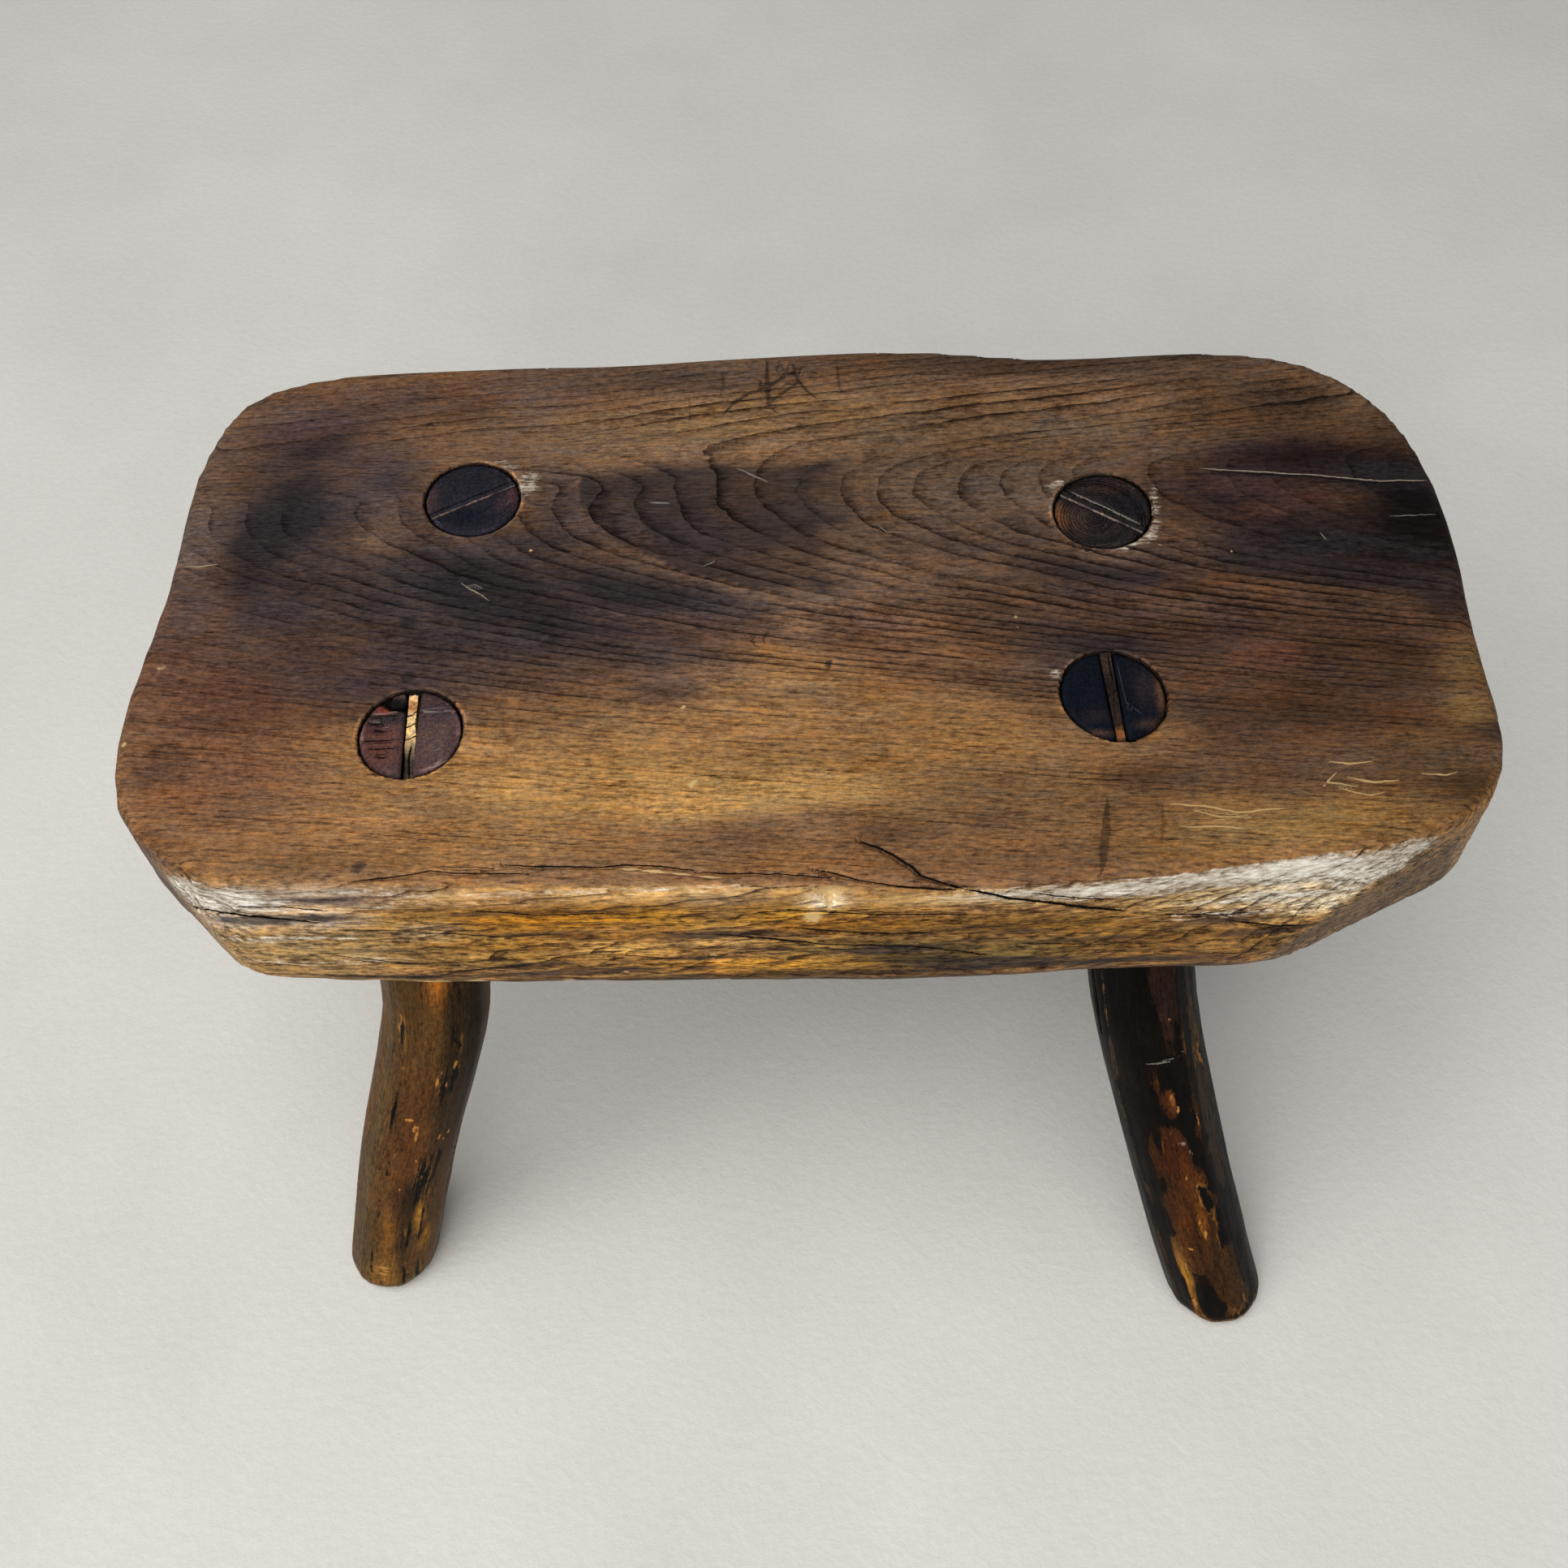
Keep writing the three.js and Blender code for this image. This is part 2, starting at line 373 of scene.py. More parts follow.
# The near black of every scar: the dark of scratches and joints, and in the cracks and splits partly
# dirt and partly painted shade.
CRACK = (9, 7, 6)
SEAT_SOOT = (38, 33, 36)
LEG_SOOT = (10, 8, 7)
WEDGE_SOOT = (46, 39, 42)
ASH = (168, 162, 152)
FRESH = (214, 182, 126)
CHIPPED = (196, 136, 66)

# The middle of the SHADE and CAST ramps as light, which leaves a tint as it is.
SHADE_MIDDLE, CAST_MIDDLE = 0.42, 0.4286

# A nick whose strength is below the first of these is grey, above the second the fresh colour.
ASH_BELOW, FRESH_ABOVE = 0.52, 0.7


def lay_textures(n):
    """Keeps on n the fields and noises that the rest of the timber reads."""
    n.grain = n.field("grain", "Vector")
    n.coarse, n.figure = n.field("coarse"), n.field("figure")
    n.fibre = n.noise(n.grain, (5, 0.9, 0.9), detail=4, roughness=0.75)
    n.streak = n.noise(n.grain, (34, 1.5, 1.5), detail=3, roughness=0.6)
    n.pores = n.step(n.noise(n.grain, (7, 0.8, 0.8), detail=1), 0.45, 0.8)
    n.mottle = n.noise(n.grain, (26, 17, 17), detail=5, roughness=0.65)
    n.fleck = n.noise(n.grain, (2.4, 1.5, 1.5), detail=4, roughness=0.75)


def lay_rings(n):
    """Keeps on n the late wood that ends each growth ring, and bands that follow the rings."""
    drift = n.mul_add(n.mottle, 0.2, n.field("ring"))
    saw = n.math("FRACT", drift)
    each = n.node("TexWhiteNoise", {"W": n.math("FLOOR", drift)}, noise_dimensions="1D")
    patchy = n.step(n.noise(n.grain, (60, 9, 9), detail=2), -1.4, 0.9)
    patchy = n.mul(patchy, n.mul_add(each.outputs["Value"], 0.8, 0.3))
    late = n.mul(n.math("POWER", saw, 7.0), patchy)
    n.late = n.mul_add(n.mul(saw, saw), n.mul(patchy, 0.4), late)
    parts = n.node("SeparateXYZ", {0: n.grain}).outputs
    band_at = n.node("CombineXYZ", {"X": n.mul(parts[0], 0.03), "Y": drift}).outputs[0]
    n.band = n.noise(band_at, (1, 2.2, 1), detail=5, roughness=0.7)


def wood_tone(n, figured):
    """How light the wood is, from 0 to 1, before its colour."""
    return n.add_up(
        0.53,
        (n.mul(n.fibre, n.coarse), 0.34),
        (n.mul(n.mul(n.streak, n.coarse), n.coarse), 0.12),
        (n.mul(n.late, n.figure), -figured),
        (n.mul(n.band, n.figure), figured * 0.3),
        (n.mottle, 0.07),
        (n.fleck, 0.22),
        (n.mul(n.pores, n.coarse), -0.2),
        clamp=True,
    )


def tinted(n, shade):
    """The wood's own colour, its light and dark fibres also warmer and cooler."""
    warm = n.mul_add(n.noise(n.grain, (8, 2.2, 2.2), detail=5, roughness=0.75), 0.5, 0.5)
    cast = n.stretch(n.ramp(warm, CAST), (CAST_MIDDLE,) * 3)
    return n.product(n.product(n.field("tint", "Vector"), shade), cast)


def sooted(n, colour, shade, soot, fresh, ragged, crisp, cover, lifted):
    """Lays the dark stain over a colour, with fresh wood along its lip where it has lifted."""
    torn = n.add_up(n.mul(n.band, 1.6), (n.streak, 1.2), (n.mottle, 2.2), (n.fleck, 0.5))
    torn = n.mul_add(torn, ragged, n.field("stain"))
    stained = n.step(torn, -crisp, crisp)
    depth = n.add_up(cover, (n.band, 0.16), (n.mottle, 0.16), (n.fleck, 0.1))
    sooty = n.product(linear(*soot)[:3], shade)
    colour = n.mix(n.mul(stained, depth, clamp=True), colour, sooty)

    lip = n.mul(n.step(torn, -2.2 * crisp, -1.2 * crisp), n.step(n.mottle, 0.1, 0.8))
    lip = n.mul(lip, n.math("SUBTRACT", 1.0, stained))
    return n.mix(n.mul(lip, lifted), colour, linear(*fresh))


def bared(n, colour, tone):
    """Wears patches of a colour to pale wood; gives the colour and how bare each place is."""
    worn_by = n.add_up(n.mul(n.streak, 1.6), (n.fibre, 1.3), (n.fleck, 0.9))
    bare = n.step(n.math("ADD", n.field("bare"), worn_by), -0.9, 1.6)
    whiter = n.mul_add(n.step(n.field("bare"), 0.5, 4.0), 0.26, -0.06)
    bleached = n.mul_add(n.fibre, 0.12, n.math("ADD", tone, whiter))
    return n.mix(n.mul(bare, 0.93), colour, n.ramp(bleached, BARE)), bare


def marked(n, colour, fresh):
    """Draws the nicks, then the scars with grime beside them, the scars' near black partly painted
    shade in the cracks and splits; gives the colour and both.
    """
    edge_break = n.mul_add(n.fleck, 0.3, n.mul(n.fibre, 0.2))
    nick, shown = n.mark("nick")
    nick = n.step(n.mul_add(edge_break, 2.2, nick), 1.25, 0.7)
    nick = n.mul(nick, shown)
    flesh = n.mix(n.step(shown, ASH_BELOW, FRESH_ABOVE), linear(*ASH), linear(*fresh))
    colour = n.mix(n.mul(nick, 0.85), colour, flesh)
    scar, shown = n.mark("scar")
    scar = n.math("ADD", scar, edge_break)
    grime = n.mul(n.step(scar, 3.0, 0.6), shown)
    colour = n.mix(n.mul(grime, 0.3), colour, linear(*CRACK))
    scar = n.mul(n.step(scar, 1.2, 0.8), shown)
    return n.mix(scar, colour, linear(*CRACK)), nick, scar


def roughen(n, gloss, bare, scar):
    """Makes pores, bare wood and cracks duller than the polished rest."""
    dulled = ((n.fleck, 0.05), (n.mottle, 0.05), (n.pores, 0.14), (bare, 0.1), (scar, 0.4))
    rough = n.add_up(gloss, *dulled, clamp=True)
    n.put(n.shader.inputs["Roughness"], rough)


def emboss(n, nick, scar):
    """Raises the fibres a little and sinks pores, late wood, nicks and cracks."""
    sunk = ((n.pores, -0.5), (n.fleck, 0.12), (n.late, -0.15), (nick, -0.5), (scar, -1.5))
    height = n.add_up(n.mul(n.mul(n.fibre, n.coarse), 0.3), *sunk)
    bump = n.node("Bump", {"Strength": 0.55, "Distance": 0.25 * MM, "Height": height})
    n.put(n.shader.inputs["Normal"], bump.outputs["Normal"])


def timber(name, soot, fresh, figured=0.3, ragged=1.0, crisp=2.6, cover=0.86, lifted=0.0,
           gloss=0.45, shine=0.1):
    """Aged wood, read from the fields on a piece's points.

    grain runs along the fibres in x and across them in y and z, in millimetres; ring counts
    growth rings and figure is how strongly they show; tint is the wood's colour; coarse is how
    strongly its fibres show; stain is millimetres inside a dark stain; bare is millimetres
    inside a patch worn to pale wood; scar and nick are within 1 of zero in a crack and in a
    fresh pale mark, and their third number is how strongly it shows.
    """
    n = Nodes(name)
    lay_textures(n)
    lay_rings(n)
    tone = wood_tone(n, figured)
    shade = n.stretch(n.ramp(tone, SHADE), (SHADE_MIDDLE,) * 3)
    colour = sooted(n, tinted(n, shade), shade, soot, fresh, ragged, crisp, cover, lifted)
    colour, bare = bared(n, colour, tone)
    colour, nick, scar = marked(n, colour, fresh)
    n.put(n.shader.inputs["Base Color"], colour)
    n.shader.inputs["Specular IOR Level"].default_value = shine
    roughen(n, gloss, bare, scar)
    emboss(n, nick, scar)
    return n.material


# ------------------------------------------------------------------ the seat

SEAT_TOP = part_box("seat")[1].z / MM
SEAT_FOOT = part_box("seat")[0].z / MM
SEAT_DEPTH = SEAT_TOP - SEAT_FOOT
BORE_RADIUS = 16.2

# The front ridge, where the flat top turns down into the waney face: x, then y.
RIDGE_X = (-216, -191, -133, -37, 57, 104, 165, 191, 212)
RIDGE_Y = (-66, -81, -88, -93, -99.6, -98, -91, -85, -62)
WANE_RUN = 7

# Where the pith lay below the plank, which shapes the curved figure of the rings.
PITH_Y, PITH_Z, PITH_TILT, RING = 62, 150, 0.111, 1.5


def ridge(x):
    return np.interp(x, RIDGE_X, RIDGE_Y)


def face_v(x, z):
    """The unrolled place of a point at height z on the front face, as unroll gives it."""
    drop = SEAT_TOP - z
    return float(ridge(x)) - drop * (1 + WANE_RUN / SEAT_DEPTH)


def on_front(shapes):
    """Moves shapes given as x, height, half length, half height and more onto the unrolled face."""
    return [((x, face_v(x, z)), (length, tall), *rest) for x, z, length, tall, *rest in shapes]


def unroll(points):
    """Lays the top and the front face out flat: x, and one measure that runs down both."""
    return points[:, 0], points[:, 1] + points[:, 2] - SEAT_TOP


def tenon_centres():
    """Each tenon's middle where it comes out of the seat's top."""
    centres = {}
    for node in LEGS:
        points = read(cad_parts[node].data)
        top = points[points[:, 2] > points[:, 2].max() - 0.5]
        centres[node] = (top.min(axis=0) + top.max(axis=0))[:2] / 2
    return centres


LEGS = ("leg_front_left", "leg_front_right", "leg_back_left", "leg_back_right")
TENONS = tenon_centres()


def on_face(*places):
    """A path on the front face, given as x and height."""
    return [(x, face_v(x, z)) for x, z in places]


# Cracks in the seat: a path over the unrolled top and front, half width and depth.
CRACKS = (
    (((-138, -87.2), (-128, -86.2), (-114, -84.3), (-107, -85.2), (-95, -85.8), (-84, -86.8)),
     0.4, 1.0),
    (((-93, -82.8), (-86, -84), (-78, -84.7), (-65, -85.4), (-57, -85.2), (-46, -86.2),
      (-35, -88.3)), 0.5, 1.2),
    (((-36, -88.6), (-24, -90.2), (-12, -90.8), (-2, -92.5), (6, -93.8)), 0.4, 1.2),
    (((-3, -89.2), (5, -92), (13, -95), (20, -96.7), (30, -98.7), (42, -100.3)), 0.5, 1.4),
    (((12, -80.8), (18, -83.7), (22, -86.2), (27, -90), (30, -93.8), (37.5, -97.5), (43, -100)),
     0.8, 2.4),
    (((43, -100), (50, -102.6), (56, -105.5), (62, -107.7), (68, -109), (80, -113), (92, -116)),
     0.7, 2.2),
    (((-112, -82.8), (-100, -83.4), (-92, -84.6)), 0.25, 0.5),
    (((62, -103.5), (78, -107.5), (88, -109)), 0.35, 0.9),
    (on_face((-197, 249), (-185, 253), (-168, 252), (-150, 251)), 0.7, 1.8),
    (on_face((-176, 256), (-160, 257.5), (-146, 256.5)), 0.3, 0.7),
    (on_face((-120, 248), (-96, 246), (-78, 247)), 0.3, 0.8),
    (on_face((-66, 238), (-40, 235.5), (-24, 236)), 0.3, 0.8),
    (on_face((-12, 251), (14, 248), (34, 248.5)), 0.35, 0.9),
    (on_face((60, 243), (84, 240), (104, 239)), 0.3, 0.8),
    (on_face((100, 252), (118, 249), (132, 247.5)), 0.3, 0.8),
    (on_face((-150, 236), (-128, 233.5), (-108, 234)), 0.3, 0.8),
    (on_face((20, 233), (46, 230), (70, 231)), 0.35, 0.9),
    (on_face((-10, 259), (16, 257), (44, 257.5)), 0.3, 0.6),
    (on_face((-104, 258), (-84, 256), (-62, 256.6)), 0.3, 0.7),
    (on_face((122, 246), (138, 240), (150, 238)), 0.6, 1.4),
    (on_face((-30, 247), (0, 243), (28, 242), (52, 238)), 0.5, 1.0),
    (((140, 60), (158, 57.5), (175, 55), (196, 51), (213, 50.5)), 0.45, 0.9),
)

# Dark scratches, as cracks with no depth: path, half width and strength.
DARK_SCRATCHES = (
    (((-24, 97.5), (-20, 103), (-14, 107.5), (-7.5, 110), (-1.7, 115), (6.7, 120)), 0.7, 0.6),
    (((-7.5, 124), (-7.8, 115), (-7.8, 105), (-8.7, 96.5)), 0.7, 0.6),
    (((1.3, 121), (3.3, 112), (6.7, 106), (10.3, 102)), 0.6, 0.55),
    (((-8.3, 100), (-5, 105), (0, 109), (4, 111.5)), 0.6, 0.55),
    (((-8.3, 101), (-3.3, 95)), 0.5, 0.5),
    (((-4, 124), (-1, 117), (0.5, 111)), 0.5, 0.4),
    (((-24, 119), (-23.3, 112.5), (-25, 106.7)), 0.8, 0.35),
    (((17.5, 121), (17.5, 108), (18.7, 105.5)), 0.6, 0.35),
    (((-35.5, 110), (-35.5, 92)), 0.4, 0.25),
    (((88, -70), (86, -80), (84, -90), (82, -97)), 1.3, 0.5),
    (((104, -72), (103, -80), (101, -88)), 0.7, 0.3),
    (((-140, 34), (-128, 26), (-116, 22), (-104, 18)), 0.4, 0.35),
    (((-20, 2), (-19, -2), (-16, -4.6), (-13, -4), (-12, -1), (-9, 0)), 0.35, 0.5),
    (((-16, -1), (-14, -5), (-17, -6)), 0.3, 0.45),
    (((20, 112), (48, 113), (80, 111)), 0.4, 0.3),
)

# Pale fresh scratches on the top: path, half width and strength.
PALE_SCRATCHES = (
    (((137, 61.6), (159, 58.3), (176, 55.9), (197, 51.9), (213, 51.2)), 0.24, 0.58),
    (((195, 36.5), (205, 36), (213, 36.2)), 0.2, 0.4),
    (((-206, 39), (-200, 38.5), (-192, 39.5)), 0.3, 0.6),
    (((-112, 26), (-107, 22), (-102, 18)), 0.3, 0.6),
    (((-110, 24.5), (-107, 25), (-104, 23)), 0.25, 0.5),
    (((-32.5, 28.3), (-26.7, 30.8)), 0.25, 0.55),
    (((-20, 71.6), (-16.5, 69.5), (-13, 67), (-9, 64.2)), 0.35, 0.5),
    (((-4, 71.5), (0, 75.4)), 0.2, 0.5),
    (((-50, 57.8), (-42.5, 57)), 0.5, 0.5),
    (((26, 44), (29, 40), (31, 38.5)), 0.25, 0.4),
    (((29, 39.5), (36, 38.6)), 0.25, 0.4),
    (((155, -60), (162, -61.5), (170, -61)), 0.3, 0.72),
    (((158, -64), (154, -68), (163, -69.5)), 0.28, 0.72),
    (((160, -66), (168, -68.5), (176, -68)), 0.34, 0.76),
    (((182, -66), (190, -67), (194, -66)), 0.28, 0.72),
    (((157, -70), (166, -73), (171, -72)), 0.26, 0.7),
    (((105, -73), (116, -74), (126, -77), (140, -76)), 0.3, 0.72),
    (((112, -75), (120, -78), (130, -79)), 0.24, 0.7),
    (((108, -81), (121, -81.5), (127, -83)), 0.3, 0.7),
    (((-58, -86.4), (-52, -86.9)), 0.6, 0.85),
    (((-51.5, -87.4), (-47, -87.8), (-44, -88.3)), 0.75, 0.95),
    (((-43, -88.4), (-37, -89.6)), 0.5, 0.85),
    (((-35, -90.2), (-28, -90.9)), 0.5, 0.8),
    (((172, 31), (174, 26)), 0.3, 0.6),
)

# The pared facets on the front face's right and left ends: a point of each plane, and its
# outward normal.
FACET_AT, FACET_OUT = (192, -84, 270), (0.39, -0.918, -0.06)

LEFT_FACET_AT, LEFT_FACET_OUT = (-191, -81, 270), (-0.72, -0.69, -0.04)

# The notch in the ridge, and the pale chip on the face below it as x, height and half sizes.
NOTCH_X, NOTCH_TOP, NOTCH_HALF = 3.0, -97.5, 4.0
NOTCH_CHIP = (-2, 256, 2.6, 2.8)

# Small pale specks and chips: place and radius.
SPECKS = (
    ((-39, -56.4), 0.9), ((-36.4, -57.6), 1.1), ((-34.6, -56.2), 0.7), ((-37.4, -59.4), 0.6),
    ((-133, 105), 0.6), ((-89, 38.5), 0.8), ((-45, 8), 0.5),
    ((-29, -9), 0.6), ((-140, -4), 0.7), ((68, 0.6), 0.9), ((57, -16), 0.7),
    ((-84, 32), 0.4), ((-40, 42.5), 0.5), ((-34, 48), 0.4), ((31, 108), 0.5), ((68.4, -2.8), 0.8),
    ((57.5, -13), 0.8), ((105, 56.7), 0.6), ((142, 24), 0.6), ((200, 29), 0.8),
    ((208, 64), 0.9), ((168, 71), 0.6), ((-206, -4), 1.4), ((-213, -33), 1.0),
    ((-39, -29), 0.8), ((112.5, 45), 0.8), ((97, 53), 0.4), ((153, -69), 0.6),
)

# Pale chips along the foot of the front face: x, height, half length, half height.
FOOT_CHIPS = (
    (-137, 223.6, 7, 1.6), (-121, 223.8, 5, 1.3), (-107, 224, 3, 1.3), (-78, 224.6, 2, 1.1),
    (-60, 229, 1.2, 0.8), (90, 225.5, 2.5, 0.8), (105, 226, 1.5, 0.7), (-33, 237, 1.4, 1.2),
)


def wandered(x, v):
    """The unrolled height with a wobble, so that lines drawn straight come out torn."""
    return v + 0.5 * fractal(in_plane(x, v), 7, 41) + 0.18 * fractal(in_plane(x, v), 1.6, 43)


def seat_lines(x, v):
    """The cracks and scratches as signed fields: scars first, then pale nicks."""
    rim_width = 0.2 + 0.26 * fractal(in_plane(x, v), 4, 45)
    v = wandered(x, v)
    scars = [(line(x, v, path, width * 0.62), 1.0) for path, width, _ in CRACKS]
    scars += [(line(x, v, path, width, taper=10), dark) for path, width, dark in DARK_SCRATCHES]
    nicks = [(line(x, v, path, width), pale) for path, width, pale in PALE_SCRATCHES]
    nicks += [(np.hypot(x - c[0], v - c[1]) / r, 0.9) for c, r in SPECKS]
    for cx, z, length, height in (*FOOT_CHIPS, NOTCH_CHIP):
        nicks.append((np.hypot((x - cx) / length, (v - face_v(cx, z)) / height), 0.9))
    nicks.append((notch(x, v), 0.95))
    for leg in LEGS:
        reach = np.hypot(x - TENONS[leg][0], v - TENONS[leg][1]) - BORE_RADIUS
        scars.append(((reach - 0.02) / rim_width, 0.8))
    return marks(x.shape, scars), marks(x.shape, nicks)


def notch(x, v):
    """The V-shaped chip in the ridge: 1 at its edge, narrowing down the front face."""
    fall = NOTCH_TOP - v
    field = (np.abs(x - NOTCH_X) + 0.4 * fall) / NOTCH_HALF
    return np.where(fall < -1, CLEAR, field)


def past_bores(points):
    """How far each point is outside each bore's wall, seen from above: one row for each bore."""
    return np.array([np.hypot(*(points[:, :2] - TENONS[leg]).T) - BORE_RADIUS for leg in LEGS])


def rim_distance(points):
    """How far each point is from the nearest bore's rim on the top."""
    flat = np.abs(past_bores(points)).min(axis=0)
    return np.hypot(flat, points[:, 2] - SEAT_TOP)


def mesh_seat(piece):
    """Adds finer mesh where the front face, cracks and bore rims need it."""
    mesh = piece.data
    for level, (line_reach, rim_reach) in enumerate(((4.0, 5.0), (1.6, 2.0))):
        points = read(mesh)
        x, v = unroll(points)
        above = points[:, 2] > SEAT_FOOT + 1
        zone = rim_distance(points) < rim_reach
        for path, *_ in CRACKS:
            zone |= (np.abs(line(x, v, path, 1.0, taper=0.1)) < line_reach) & above
        for path, *_ in PALE_SCRATCHES:
            zone |= (np.abs(line(x, v, path, 1.0, taper=0.1)) < line_reach * 0.8) & above
        if level == 0:
            zone |= (v < ridge(x) + 3) & (points[:, 1] < ridge(x) + 3) & above
        refine(mesh, zone)
    snap(mesh, "seat", rim_distance(read(mesh)) < 2.4)


def cut(points, through, normal, ragged):
    """Pares off what stands outside a plane, leaving a slightly ragged facet."""
    normal = np.asarray(normal) / np.linalg.norm(normal)
    out = (points - np.asarray(through)) @ normal + ragged
    return points - np.outer(np.maximum(out, 0), normal)


def torn_face(points):
    """How far the torn fibres of the front face stand out, less towards its right end."""
    torn = 0.8 * fractal(points, (46, 7, 7), 5) + 0.6 * fractal(points, (24, 2.4, 2.4), 7)
    torn -= 0.5 * np.clip(fractal(points, (34, 3.4, 3.4), 8) - 0.25, 0, 1)
    return torn * (1 - 0.55 * smooth(80, 125, points[:, 0])) - 0.25


def face_bulge(x, z):
    """How far the front face swells towards its foot, most of all right of its middle."""
    bulge = 1.3 * smooth(95, 60, x) + 1.1 * smooth(-50, -100, x)
    bulge += 3.6 * np.exp(-(((x - 132) / 30) ** 2))
    return bulge * smooth(SEAT_TOP - 12, SEAT_FOOT + 8, z)


def seat_cuts(x, v, z):
    """How deep the cracks, the notch and the chips along the foot cut in."""
    wavy = wandered(x, v)
    deep = 2.6 * smooth(1.25, 0.5, notch(x, v))
    for path, width, depth in CRACKS:
        reach = np.abs(line(x, wavy, path, max(width * 1.3, 0.8)))
        deep += depth * np.clip(1 - reach, 0, 1) ** 1.2 * (z > SEAT_FOOT + 1)
    for cx, height, length, tall in FOOT_CHIPS:
        chip = np.hypot((x - cx) / length, (v - face_v(cx, height)) / (tall * 1.6))
        deep += 0.9 * smooth(1.2, 0.5, chip)
    return deep


def chew_rim(points, z, tenon):
    """Frays a bore's rim outwards and downwards; z is each point's height before any of that."""
    away = points[:, :2] - tenon
    reach = np.hypot(*away.T)
    lip = smooth(3.0, 0.2, reach - BORE_RADIUS) * smooth(2.5, 0.2, SEAT_TOP - z)
    bearing = in_plane(*away.T)
    chewed = np.clip(0.03 + 0.4 * fractal(bearing, 5, 17), 0, 1) * lip
    points[:, :2] += away / np.maximum(reach, 1)[:, None] * chewed[:, None]
    points[:, 2] -= 0.35 * lip * np.clip(0.5 + fractal(bearing, 8, 19), 0, 1)


def sculpt_seat(piece):
    """Wears the plank: dished top, torn waney face, pared corners, cracks and chips."""
    mesh = piece.data
    points, normals = read(mesh), read(mesh, "normal")
    x, v = unroll(points)
    y, z = points[:, 1], points[:, 2]
    rim = rim_distance(points)
    top = smooth(0.6, 0.9, normals[:, 2])
    front = smooth(2, -3, v - ridge(x)) * smooth(6, 0, y - ridge(x))

    push = 0.22 * fractal(points, (70, 40, 40), 1)
    push -= 0.5 * top * np.exp(-((x / 150) ** 2) - ((y - 10) / 70) ** 2)
    push += top * 0.05 * fractal(points, (40, 3.5, 3.5), 3)
    push += front * (torn_face(points) + face_bulge(x, z))
    edge = smooth(6, 1, np.abs(v - ridge(x))) * smooth(8, 2, SEAT_TOP - z)
    push += edge * (0.5 * fractal(points, (16, 6, 6), 9) - 0.3)
    side = smooth(0.5, 0.2, np.abs(normals[:, 2])) * (1 - front)
    push += side * 0.45 * fractal(points, (14, 14, 5), 11)
    under = smooth(-0.6, -0.9, normals[:, 2])
    push += under * 0.16 * fractal(points, (3.2, 30, 30), 13)

    push -= seat_cuts(x, v, z)
    push *= smooth(0.4, 3.0, rim) * 0.85 + 0.15
    points += normals * push[:, None]

    ragged = 0.45 * fractal(points, (14, 5, 5), 15)
    points = cut(points, FACET_AT, FACET_OUT, ragged)
    points = cut(points, LEFT_FACET_AT, LEFT_FACET_OUT, ragged)
    for leg in LEGS:
        chew_rim(points, z, TENONS[leg])
    write(mesh, points)


